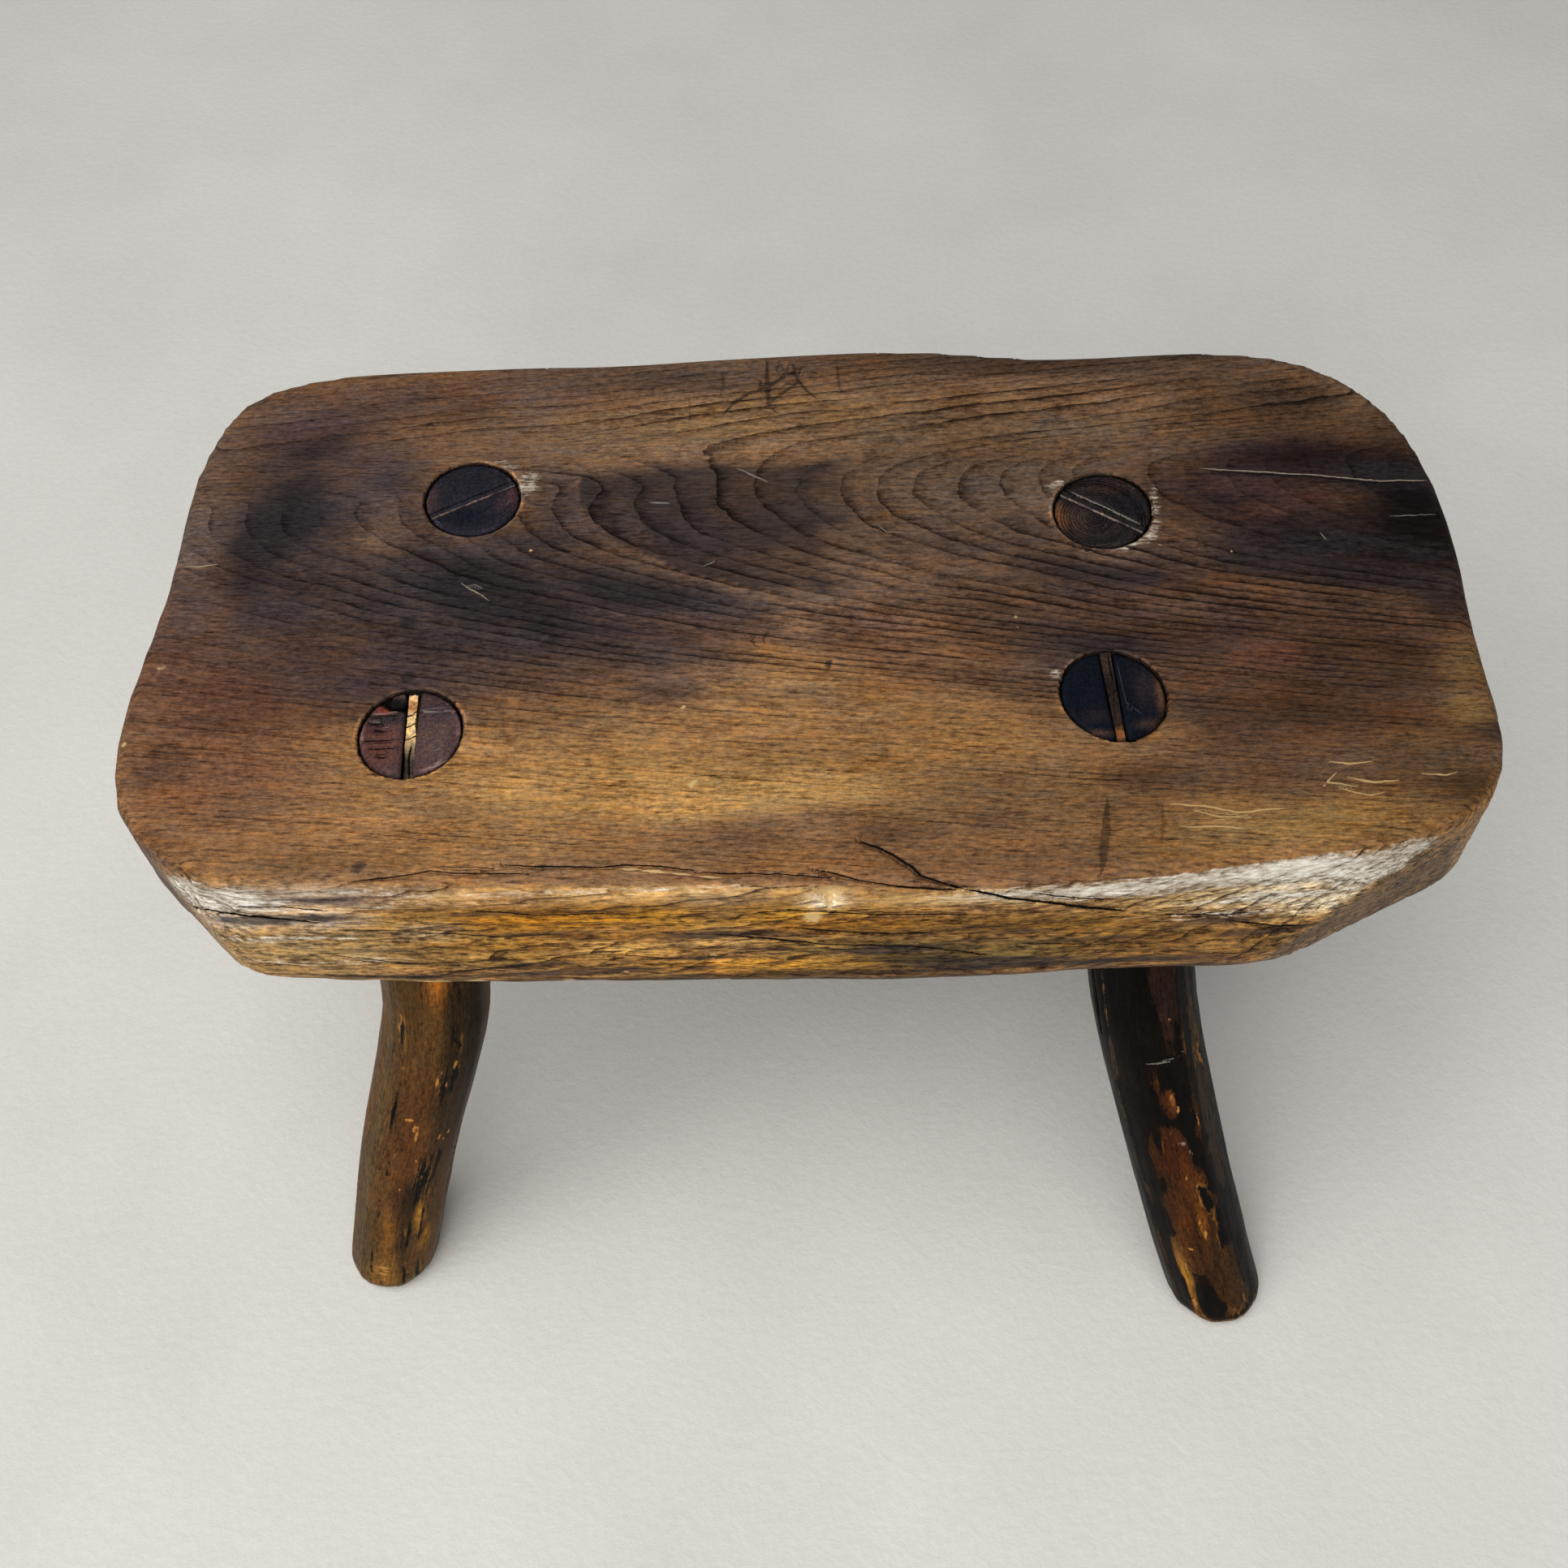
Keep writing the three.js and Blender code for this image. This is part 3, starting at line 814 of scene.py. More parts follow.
# Washes of colour over the top, from broad to small: middle, radii, colour and any tilt.
SEAT_WASHES = (
    ((0, 108), (230, 20), TAN),
    ((-110, 114), (80, 9), (100, 76, 63)),
    ((-170, 96), (30, 15), (76, 59, 58), 12),
    ((-95, 95), (30, 9), (110, 87, 69), 4),
    ((60, 99), (120, 9), (114, 86, 61), 1),
    ((-25, 92), (60, 15), (148, 116, 80), 3),
    ((86, 116), (74, 5), (72, 55, 44), -4),
    ((70, 84), (90, 9), (116, 91, 67)),
    ((176, 90), (40, 15), (76, 56, 40), -8),
    ((-70, 66), (50, 22), (92, 74, 64)),
    ((60, 62), (62, 20), (92, 75, 62)),
    ((40, 32), (50, 18), (90, 73, 63), -25),
    ((-172, 58), (30, 28), (54, 46, 48)),
    ((-138, 66), (13, 22), (76, 62, 59)),
    ((-178, 24), (30, 16), (62, 50, 51), -12),
    ((-118, 18), (66, 32), (57, 49, 51), -14),
    ((-60, 10), (76, 24), (60, 52, 54), -14),
    ((-80, 58), (9, 20), (78, 63, 57)),
    ((-202, 55), (9, 40), (98, 82, 75)),
    ((-202, 5), (15, 24), (104, 74, 58)),
    ((-150, -4), (44, 13), (68, 54, 53), -6),
    ((-180, -22), (34, 20), (92, 62, 49), -6),
    ((-130, -20), (34, 10), (68, 53, 52), -4),
    ((-66, -18), (48, 8), (86, 66, 58), -4),
    ((-38, 2), (34, 7), (84, 66, 60), -10),
    ((-6, 22), (26, 12), (132, 103, 82), -14),
    ((36, 20), (36, 14), (108, 85, 69), -14),
    ((-60, -54), (150, 24), (154, 116, 73), -1),
    ((-178, -50), (30, 18), (116, 80, 58)),
    ((-150, -66), (50, 14), (140, 102, 67), -4),
    ((-15, -30), (56, 14), (146, 108, 69), -6),
    ((-25, -62), (62, 10), (176, 137, 83), -2),
    ((-75, -58), (40, 10), (168, 127, 76), -4),
    ((18, -12), (44, 7), (116, 84, 62), -8),
    ((-4, -11), (15, 6), (136, 100, 66), -10),
    ((40, -20), (26, 5), (106, 79, 58), -8),
    ((0, -21), (20, 8), (150, 112, 72), -6),
    ((82, -6), (34, 18), (68, 55, 50), -12),
    ((102, 14), (38, 20), (66, 54, 49), -12),
    ((142, -12), (70, 22), (80, 57, 46), -10),
    ((178, -20), (30, 20), (62, 45, 36), -6),
    ((130, -42), (70, 16), (74, 53, 40), -6),
    ((110, -62), (66, 10), (94, 69, 50), -2),
    ((148, -82), (56, 10), (140, 107, 62), 4),
    ((190, -62), (22, 16), (90, 67, 46)),
    ((206, -26), (9, 12), (106, 82, 52), -6),
    ((204, -44), (8, 6), (112, 88, 54), -6),
    ((62, -72), (56, 11), (120, 90, 60)),
    ((-55, -80), (90, 8), (130, 96, 64), -3),
    ((-25, -76), (16, 6), (112, 82, 58)),
    ((-120, -80), (66, 8), (142, 106, 70), -2),
    ((114, 55), (26, 22), (96, 78, 68)),
    ((150, 50), (30, 20), (50, 38, 37), -4),
    ((178, 64), (36, 12), (34, 21, 20), -8),
    ((180, 26), (46, 20), (38, 27, 27), -8),
    ((206, 40), (16, 32), (15, 10, 9)),
    ((202, 96), (12, 10), (116, 88, 64)),
    ((150, 20), (14, 10), (44, 36, 36)),
    ((165, -4), (28, 6), (80, 57, 45), -6),
    ((205, 2), (10, 10), (52, 40, 36)),
    ((54, -44), (30, 12), (152, 114, 72), -8),
    ((94, -44), (22, 11), (138, 104, 70), -6),
    ((78, -20), (14, 7), (80, 61, 51), -8),
    ((-84, -74), (36, 6), (150, 112, 72), -2),
    ((20, -79), (16, 5), (98, 73, 53), -2),
    ((-140, 48), (9, 13), (98, 78, 67)),
    ((-202, 22), (8, 11), (84, 66, 60)),
    ((-202, -40), (10, 10), (94, 67, 51)),
    ((-150, 82), (14, 7), (76, 60, 56)),
    ((-50, 116), (46, 6), (82, 64, 52), 1),
    ((-44, 81), (48, 6), (134, 105, 80), 2),
    ((0, 24), (12, 11), (158, 124, 96), -14),
    ((-50, -20), (14, 6), (88, 68, 58), -6),
    ((-100, -42), (13, 8), (166, 124, 80)),
    ((2, -60), (16, 7), (194, 150, 93), -3),
    ((76, -60), (16, 7), (130, 97, 63), -3),
    ((-176, -60), (13, 8), (110, 80, 57)),
    ((100, 23), (15, 6), (106, 84, 72), -8),
    ((76, 40), (10, 8), (78, 63, 55)),
    ((152, 54), (18, 4), (68, 47, 42), -6),
    ((158, 43), (11, 4), (76, 50, 42), 10),
    ((175, 47), (8, 3), (72, 44, 38), -4),
    ((0, 2), (12, 6), (128, 98, 76), -8),
    ((152, -40), (13, 7), (64, 46, 34), -4),
    ((-125, -60), (13, 7), (160, 119, 76)),
    ((101, -61), (10, 6), (86, 63, 45)),
    ((-150, -76), (13, 5), (122, 90, 60)),
    ((0, -76), (13, 5), (146, 109, 78)),
    ((50, -76), (12, 5), (98, 72, 50)),
    ((125, -76), (14, 5), (140, 103, 62)),
    ((198, -72), (10, 7), (72, 53, 35)),
    ((-88, 40), (19, 9), (62, 51, 48)),
    ((-190, -55), (12, 6), (124, 86, 60)),
    ((-38, 41), (25, 10), (90, 76, 75), -10),
    ((150, -18), (12, 7), (94, 62, 48), -6),
    ((25, 2), (13, 6), (120, 92, 76), -8),
    ((-200, -72), (10, 8), (104, 74, 50)),
    ((150, 118), (20, 5), (70, 53, 41), -4),
    ((-2, 96), (16, 6), (130, 102, 74)),
    ((176, -42), (11, 6), (72, 52, 38), -4),
)

# Darker stains with an edge: middle, radii, tilt.
SEAT_STAINS = (
    ((-176, 52), (11, 26), -22),
    ((-165, 90), (14, 5), 20),
    ((-104, 22), (22, 12), -20),
    ((-84, 12), (16, 7), -30),
    ((-56, 20), (22, 6), -16),
    ((-64, 4), (16, 3), -14),
    ((188, 56), (28, 7), -8),
    ((178, 26), (26, 6), -8),
    ((100, 17), (20, 4), -14),
    ((207, -54), (8, 4), 0),
    ((96, -12), (20, 4), 0),
    ((180, 12), (22, 6), -14),
)

# Small round dark spots: place and radius.
DARK_SPOTS = (
    ((-136, -82), 1.6), ((-134.5, -80.5), 1.2), ((-128, 10), 2.2), ((-28, 65), 2.6),
    ((-126, -12), 2.0), ((-81, 0), 1.6), ((46, 19), 1.4), ((51, 14), 1.0), ((7, -15), 1.2),
    ((-116, 18), 1.5),
)

# The front face's dark streaks, its bare patches and its washes of colour, as x, height, half
# length, half height and, for a wash, its colour.
FRONT_CHAR = (
    (50, 234, 26, 3.2), (20, 240.5, 24, 2.2), (-22, 247.5, 26, 1.8), (-70, 229.5, 38, 2.0),
    (-88, 233, 14, 1.6), (10, 225.4, 90, 1.8), (140, 238, 17, 2.2), (-170, 250.5, 17, 2.0),
    (-152, 253, 12, 1.6), (-104, 256.5, 16, 1.0), (58, 249, 24, 1.0), (96, 231, 30, 1.6),
    (-150, 262, 8, 1.0), (-34, 236, 22, 1.0), (120, 246, 20, 1.0),
    (-128, 240, 18, 0.9), (70, 258, 18, 0.8), (-92, 247, 20, 0.8), (30, 230, 20, 1.2),
    (-120, 227, 30, 1.4), (110, 226, 40, 1.4), (-66, 258, 12, 0.7), (26, 256, 16, 0.8),
    (84, 243, 18, 1.0), (-14, 240, 14, 0.9), (-140, 246, 12, 0.8),
)
FRONT_BARE = (
    (-176, 263, 18, 3.0), (-190, 262, 9, 6.0), (148, 263.5, 44, 7.4), (168, 258, 20, 8.4),
    (118, 266, 36, 4.6), (-168, 242, 20, 1.3), (-150, 233, 14, 0.9), (84, 268, 24, 1.2),
    (-178, 255, 14, 1.6), (-140, 266, 16, 1.6), (142, 253, 26, 2.6), (128, 248, 14, 1.0),
    (-56, 267.5, 30, 0.7), (-128, 260, 12, 0.7), (86, 265.5, 34, 4.8), (60, 266.5, 24, 3.0),
    (-179, 259, 20, 7.0), (178, 264, 14, 5.0),
)
FRONT_WASHES = (
    (-160, 238, 52, 13, (160, 132, 88)), (-120, 252, 30, 10, (146, 106, 50)),
    (-70, 254, 55, 7, (158, 106, 26)), (-60, 266.5, 90, 3.8, (214, 172, 110)),
    (-80, 238, 40, 6, (118, 80, 34)), (-100, 243, 20, 3, (168, 122, 50)),
    (-20, 256, 40, 5, (178, 130, 46)), (10, 252, 30, 4, (152, 102, 30)),
    (-15, 233, 45, 4.5, (198, 142, 50)), (-96, 236, 26, 5, (150, 116, 60)),
    (-60, 247, 26, 2.6, (104, 68, 24)),
    (60, 265.5, 44, 4.4, (200, 166, 112)), (60, 252, 50, 6, (116, 82, 32)),
    (40, 238, 36, 6, (54, 44, 24)), (4, 243, 24, 2.6, (66, 52, 26)),
    (100, 240, 40, 9, (112, 80, 38)), (84, 247, 20, 3, (144, 104, 46)),
    (110, 258, 30, 6, (160, 128, 78)), (150, 261, 42, 8, CREAM), (150, 252, 38, 7, (220, 202, 168)),
    (148, 242, 26, 3, (176, 138, 82)), (150, 232, 30, 5, (124, 94, 50)),
    (-162, 262.5, 42, 7, (176, 152, 130)), (-146, 262, 16, 2, (112, 94, 88)),
    (-176, 257, 14, 1.6, (104, 88, 86)), (-165, 251, 24, 3, (70, 62, 60)),
    (-40, 226, 150, 2.2, (76, 54, 28)), (182, 252, 18, 14, (146, 114, 70)),
    (-186, 232, 16, 8, (150, 122, 82)), (-180, 256, 18, 8, (204, 182, 158)),
    (-150, 253, 16, 7, (184, 162, 140)), (-120, 249, 14, 6, (172, 142, 100)),
    (-90, 264, 12, 4, (150, 114, 74)), (-30, 264, 12, 4, (152, 124, 90)),
    (2, 263, 7, 4.5, (240, 224, 200)),
    (-62, 240, 18, 5, (184, 142, 78)), (-30, 257, 12, 4, (134, 98, 52)),
    (-30, 244, 14, 5, (176, 138, 84)), (0, 240, 14, 6, (150, 116, 62)),
    (60, 240, 20, 6, (112, 90, 50)), (120, 247, 13, 4, (96, 72, 48)),
    (150, 247, 13, 5, (222, 202, 168)), (-150, 228, 12, 5, (146, 116, 76)),
    (-58, 249, 14, 3.4, (150, 108, 54)), (-30, 249.5, 13, 3, (160, 120, 66)),
    (-180, 249, 14, 5, (196, 176, 156)), (30, 241, 12, 4, (110, 88, 50)),
)


def flame(x, y):
    """The dark flame figure in the middle of the top, sharp on its left and fading right."""
    left = x - (-74 + 0.026 * (y - 64) ** 2)
    shape = np.minimum(left * 3.0, np.minimum((72 - y) * 0.9, (y - 17) * 0.35))
    shape = np.minimum(shape, (12 - x) * 0.25)
    return np.minimum(shape, 3.2) - 2.2 * np.exp(-(((x + 60 - 0.4 * (60 - y)) / 6) ** 2))


def seat_rings(points):
    """Growth rings counted out from the pith, which the plank's fibres slope away from."""
    x, y, z = points.T
    tilt = PITH_TILT * (1 - 0.75 * smooth(64, 88, y))
    wavy = 0.8 * fractal(points, (70, 34, 34), 21, octaves=2) + 0.1 * fractal(points, (18, 9, 9), 23)
    return (np.hypot(y - PITH_Y, z - PITH_Z) - tilt * x + wavy) / RING


def seat_tints(points, front, facet, side, under):
    """The colour of the plank, over its top and down its front, ends and back, with painted shade down
    the bores' walls.
    """
    x, v = unroll(points)
    wx = x + 7 * fractal(points, (50, 18, 18), 31)
    wv = v + 4 * fractal(points, (40, 14, 14), 33)
    tint = washes(wx, wv, OAK, SEAT_WASHES)
    tint *= 1 + 0.17 * fractal(points, (46, 8, 8), 25, octaves=4)[:, None]
    tint += fractal(points, (30, 12, 12), 27, octaves=4)[:, None] * np.array((7, -1, -10))
    drift = v + 1.6 * fractal(points, (30, 8, 8), 35)
    lay(tint, front, washes(x, drift, FACE_WOOD, on_front(FRONT_WASHES)))
    # Painted shade in part: the pared facet takes a darker colour than the face.
    shaded = np.array(SHADED_PARED_WOOD) * (1 + 0.35 * fractal(points, (30, 4, 4), 36))[:, None]
    lay(tint, facet * front, shaded)
    lay(tint, side, SIDE_WOOD)
    lay(tint, under, UNDER_WOOD)
    # A lighter band down the sides just under the top's edge: partly wear of the arris, partly painted
    # highlight.
    worn_edge_highlight = smooth(4, 1, np.abs(SEAT_TOP - 1.5 - points[:, 2])) * side
    past = past_bores(points).min(axis=0)
    # Painted shade: the bores' walls are made much darker, as if little light reached down into them.
    bore_shade = side * smooth(3, 2, past)
    ring = smooth(0.3, 0.7, past) * smooth(1.9, 1.0, past)
    ring *= 0.9 * np.clip(0.2 + fractal(points, (9, 9, 9), 29), 0, 1) * (1 - side)
    return tint * (1 + 0.25 * worn_edge_highlight * (1 - bore_shade) - 0.72 * bore_shade + ring)[:, None]


def seat_figure(x, y, front, side):
    """How strongly the rings show: most in the flame and in the lines that sweep from it."""
    shapes = (((-30, 46), (60, 32), 1.3), ((-120, 30), (50, 40), 1.1), ((66, 58), (60, 26), 0.6),
              ((60, 96), (150, 12), 1.7), ((110, 0), (110, 30), 1.6),
              ((-100, 86), (80, 11), 0.2), ((-150, 60), (22, 26), 0.5), ((-60, -5), (80, 24), 1.2))
    figure = washes(x, y, (0.5,), [(c, r, (value,)) for c, r, value in shapes])[:, 0]
    return figure * (1 - front) + 1.1 * front + 0.3 * side


def paint_seat(piece):
    """Works out the seat's fields from its finished shape."""
    mesh = piece.data
    points, normals = read(mesh), read(mesh, "normal")
    x, v = unroll(points)
    y, z = points[:, 1], points[:, 2]
    front = smooth(1.5, -2.5, v - ridge(x)) * smooth(8, 2, y - ridge(x))
    under = smooth(-0.4, -0.8, normals[:, 2])
    side = smooth(0.75, 0.3, np.abs(normals[:, 2])) * (1 - front)
    facet = smooth(-1.2, -0.2, (points - FACET_AT) @ np.array(FACET_OUT))

    wx = x + 5 * fractal(points, (30, 14, 14), 37)
    wv = v + 3 * fractal(points, (26, 9, 9), 39)
    flamed = flame(x + 0.5 * (wx - x), v + 0.9 * (wv - v))
    stain = np.maximum(blots(wx, wv, SEAT_STAINS) * 0.7, flamed)
    spots = [(1.3 - np.hypot(x - c[0], v - c[1]) / r) * 8 for c, r in DARK_SPOTS]
    stain = np.maximum(stain, np.max(spots, axis=0))
    stain = np.maximum(stain, -0.4 - 3.0 * past_bores(points).min(axis=0))
    char = blots(x, v, on_front(FRONT_CHAR))
    bare = blots(x, v, on_front(FRONT_BARE))
    stain = stain * (1 - front) + front * (char * 2.4 - 0.2)
    stain = stain - 14 * under - 6 * side - 6 * facet * front
    bare = np.where(front > 0.3, bare, -6.0) - 8 * facet * front
    bare = np.maximum(bare, torn_rims(points) - 0.4)

    scar, nick = seat_lines(x, v)
    out = (under > 0.3) | (z < SEAT_FOOT + 0.6) | (y > ridge(x) + 12) & (z < SEAT_TOP - 4)
    scar[out] = nick[out] = (CLEAR, CLEAR, 0)

    lean = 0.03 + 0.05 * np.exp(-(((y + 5) / 45) ** 2)) - 0.05 * smooth(60, 110, y)
    torn_fibres = (0.45 + 0.35 * smooth(-130, -70, x)) * front
    torn_fibres *= smooth(SEAT_TOP - 7, SEAT_TOP - 13, z)
    store(
        mesh,
        grain=np.stack([x, y + lean * x, z], axis=1),
        ring=seat_rings(points),
        figure=seat_figure(x, y, front, side),
        tint=unscreened(seat_tints(points, front, facet, side, under)),
        coarse=0.8 + torn_fibres + 0.4 * side,
        stain=stain,
        bare=bare,
        scar=scar,
        nick=nick,
    )


# Pale torn fibres on the bores' rims: middle, radii, tilt.
TORN = (
    ((-91.3, 69), (3.4, 5.6), -14), ((-98, 77.6), (3.4, 1.3), -25), ((119.8, 45), (1.1, 7.5), -6),
    ((117, 34), (1.3, 4.2), -32), ((109.5, 29.2), (3.4, 0.9), 24), ((88, 57.4), (3.0, 1.5), 35),
    ((78.4, -22.6), (1.7, 1.7), 0),
)


def torn_rims(points):
    """How deep each point lies in torn pale fibres beside the tenons."""
    x, y = points[:, 0], points[:, 1]
    level = smooth(3, 0.5, SEAT_TOP - points[:, 2])
    past = past_bores(points).min(axis=0)
    field = np.minimum(1.4 * blots(x, y, TORN) + 0.2, 1.0) + 1.3 * fractal(points, (4, 0.9, 0.9), 51)
    return np.where((level > 0.5) & (past > -0.3), field, -6.0)


def make_seat(material):
    piece = remeshed("seat", "plank_seat", SEAT_VOXEL)
    mesh_seat(piece)
    sculpt_seat(piece)
    paint_seat(piece)
    finish_piece(piece, "seat", material)


# ------------------------------------------------------------------ the legs

FOOT_WEAR = 9.0
TENON_RADIUS = 16.0

# How each leg looks. Shapes are height, bearing (0 faces the front), half length and half width,
# and then a wash's colour or, if it isn't the usual one, a nick's strength. A leg with chips has
# a black coat everywhere but there, and drips lie over them. A tenon's washes are x, y from its
# middle, radii and colour, and its rings are counted from its heart.
LEG_LOOKS = {
    "leg_front_left": {
        "base": (87, 60, 32),
        "washes": (
            # The first wash, a long paler strip down the left side, is painted sheen.
            (110, -50, 90, 4.0, (86, 66, 38)), (150, 24, 70, 5, (52, 37, 20)),
            (150, 54, 70, 7, (36, 28, 18)), (174, 30, 14, 3, (54, 38, 20)),
            (188, 7, 16, 4.4, (172, 104, 38)), (176, -22, 26, 5, (76, 54, 26)),
            (96, -4, 36, 8, (82, 50, 25)), (66, 14, 16, 6, (42, 28, 17)),
            (52, 25, 9, 2.2, (156, 108, 36)), (34, 38, 10, 2.4, (146, 102, 36)),
            (42, -14, 17, 3.0, (128, 82, 32)), (40, 6, 24, 3, (52, 36, 19)),
            (30, -36, 30, 6, (76, 55, 27)), (12, -12, 12, 8, (120, 86, 38)),
            (5, 33, 6, 8, (92, 84, 56)),
        ),
        "stains": (
            (66, 16, 8, 1.2), (133, 33, 3.0, 1.0), (150, 30, 13, 0.1), (146, 22, 12, 0.1),
            (30, 12, 16, 0.2), (108, 32, 18, 0.1), (84, -30, 26, 0.1), (60, 30, 9, 0.3),
        ),
        "nicks": (
            (138.7, 30, 2.0, 0.8), (137, 14, 1.2, 0.5), (133, 11, 2.4, 0.5), (129, 22, 1.6, 0.4),
            (112.6, -13, 0.9, 1.4), (108, -6, 1.6, 0.6), (103.9, -2, 5.0, 0.5), (98, 29, 1.6, 0.6),
            (97.4, 42, 1.3, 0.6), (95, 36, 1.0, 0.4), (93.8, 14, 0.9, 0.6), (91.6, -22, 1.6, 0.4),
            (88, 4, 1.8, 0.4), (54, 24, 1.6, 0.6), (19, -14, 0.7, 3.2), (16.8, -12, 0.4, 2.6),
            (14.5, -13, 0.6, 2.6), (72, -8, 0.9, 0.4),
        ),
        "tenon": {"base": (78, 59, 60), "figure": 0.3, "heart": (2, -3),
                  "washes": (((-9, -4), (6, 9), (92, 58, 52)), ((8, -2), (6, 9), (88, 70, 68)),
                             ((8, 9), (6, 5), (66, 54, 58)), ((-7, 5.6), (6, 1.4), (46, 45, 50)),
                             ((-12, 2), (3, 2), (70, 46, 46)), ((-8.6, 9.4), (3.2, 1.6), (128, 54, 44)),
                             ((-3.4, 10.9), (3.2, 2.2), (20, 24, 23)))},
    },
    "leg_front_right": {
        "base": (54, 32, 16),
        "washes": (
            # The first wash, a long grey strip down the left side, is a painted reflection.
            (150, -50, 80, 6, (58, 50, 38)), (176, 22, 24, 7, (42, 27, 25)),
            (124, 7, 13, 7, (58, 31, 14)), (125, 9, 5, 1.1, (134, 78, 38)),
            (96, 2, 16, 12, (60, 30, 14)), (84, 14, 12, 4, (84, 46, 20)),
            (64, 12, 12, 1.7, (158, 94, 28)), (70, 2, 12, 4, (66, 36, 16)),
            (60, -8, 15, 5, (72, 40, 16)), (44, 2, 9, 8, (64, 38, 17)),
            (26, 26, 22, 9, (60, 40, 20)), (28, -24, 20, 3, (150, 104, 40)),
            (6, 0, 4, 20, (100, 66, 26)), (112, 52, 70, 5, (48, 38, 27)),
        ),
        "chips": (
            # The first chip opens the black coat along the left side to show that painted reflection.
            (140, -52, 90, 0.9), (182, 21, 18, 4.8), (164, 19, 12, 3.2), (124, 6, 8, 3.0),
            (127, 15, 5, 1.5), (130, -6, 6, 1.4), (95, -1, 15, 8.6), (84, 8, 17, 6.6),
            (66, 6, 18, 10.5), (48, 0, 15, 10), (26, 26, 22, 8), (28, -24, 20, 2.4),
            (112, 34, 7, 0.8), (128, 52, 50, 2.6), (148, 34, 8, 1.2), (4, 0, 3.4, 26),
        ),
        "drips": (
            (22, -2, 11, 2.8), (13, 3, 5, 3.4), (56, 36, 12, 2.2), (106, -16, 7, 1.8),
            (84, -17, 6, 1.4), (76, 24, 4, 1.4), (40, 46, 16, 3), (54, -9, 3, 1.2),
        ),
        "nicks": (
            (143.4, 2, 0.3, 4.2, 0.46), (144.6, 18, 0.26, 3.2, 0.5), (146, 31, 0.24, 2.6, 0.4),
            (161.6, 19, 0.6, 0.6), (126, 10, 2.0, 0.5), (121, 14, 1.6, 0.6), (112, 33, 4.0, 0.35),
            (104, 12, 0.8, 1.4, 0.6), (99, 18, 2.0, 0.5, 0.6), (48.6, -10, 0.6, 1.4),
            (87, 7, 3.0, 0.35), (62, 9, 4.0, 0.5), (56, 12, 2.6, 0.6), (15, -24, 3.4, 0.8),
            (36, -22, 4.0, 0.4),
        ),
        "tenon": {"base": (16, 20, 29), "figure": 0.3, "heart": (-3, 2),
                  "washes": (((15.4, -1), (2.6, 12), (96, 68, 52)), ((11, -12), (6, 2.0), (64, 48, 42)),
                             ((-9, -14.6), (8, 1.2), (78, 56, 46)), ((10, 2), (3.6, 9), (40, 33, 39)),
                             ((-6, -8), (5, 3), (34, 29, 36)))},
    },
    "leg_back_left": {
        "base": (74, 50, 30),
        "washes": (
            (150, 0, 50, 14, (52, 38, 24)), (60, 40, 40, 12, (96, 68, 38)),
            (20, -60, 20, 14, (104, 74, 42)), (100, 160, 50, 14, (84, 56, 32)),
            (12, 10, 10, 14, (116, 84, 46)), (90, -110, 50, 9, (62, 44, 28)),
        ),
        "stains": ((190, 0, 40, 60), (90, -40, 40, 5), (50, 120, 30, 5), (120, 70, 20, 3)),
        "nicks": ((130, 20, 3, 0.6), (84, 60, 2, 0.7), (70, 170, 4, 0.5), (40, -20, 0.9, 2.0)),
        "tenon": {"base": (37, 36, 45), "figure": 0.9, "heart": (0, 5),
                  "washes": (((-14, 0), (3.0, 8), (62, 48, 50)), ((13.5, 1), (2.6, 7), (72, 49, 52)),
                             ((10, -3), (2.4, 4), (58, 44, 50)), ((-2, -8), (8, 4), (24, 26, 36)))},
    },
    "leg_back_right": {
        "base": (76, 52, 31),
        "washes": (
            (150, 20, 50, 14, (52, 38, 24)), (60, -30, 40, 12, (96, 68, 38)),
            (20, 60, 20, 14, (104, 74, 42)), (100, 200, 50, 14, (86, 58, 34)),
            (12, -10, 10, 14, (116, 84, 46)), (90, 110, 50, 9, (62, 44, 28)),
        ),
        "stains": ((190, 0, 40, 60), (100, 50, 40, 5), (60, -120, 30, 5), (110, -70, 20, 3)),
        "nicks": ((120, -20, 3, 0.6), (90, 40, 2, 0.7), (64, 150, 4, 0.5), (36, 30, 0.9, 2.0)),
        "tenon": {"base": (38, 33, 34), "figure": 3.2, "heart": (-3, -3),
                  "washes": (((-14.4, -2), (3, 7), (112, 74, 50)), ((-9, -4), (4, 6), (62, 48, 42)),
                             ((2, 10), (9, 3), (56, 44, 42)), ((9, 2), (5, 6), (30, 29, 34)))},
    },
}


def middle_line(points):
    """The leg's middle at any height, as smooth curves fitted to its own points."""
    heights = np.arange(2, SEAT_TOP - 2, 6.0)
    middles = []
    for h in heights:
        near = points[np.abs(points[:, 2] - h) < 3]
        middles.append((near[:, :2].min(axis=0) + near[:, :2].max(axis=0)) / 2)
    middles = np.array(middles)
    return [np.polynomial.Polynomial.fit(heights, middles[:, i], 5) for i in range(2)]


def leg_frame(points, lines):
    """Each point's offset from the middle line, its bearing (0 faces the front) and reach."""
    away = np.stack([points[:, i] - lines[i](points[:, 2]) for i in range(2)], axis=1)
    reach = np.hypot(*away.T)
    bearing = np.degrees(np.arctan2(away[:, 0], -away[:, 1]))
    return away, bearing, reach


def around(bearing, centre, reach):
    """Distance round the leg from a bearing, in millimetres."""
    return np.radians((bearing - centre + 180) % 360 - 180) * reach


def leg_blots(z, bearing, reach, shapes):
    """The deepest of several marks given as height, bearing, half length and half width."""
    fields = [np.full(z.shape, OUTSIDE)]
    for height, centre, length, width in shapes:
        across = around(bearing, centre, reach)
        fields.append(blot(z, across, (height, 0), (length, width)))
    return np.max(fields, axis=0)


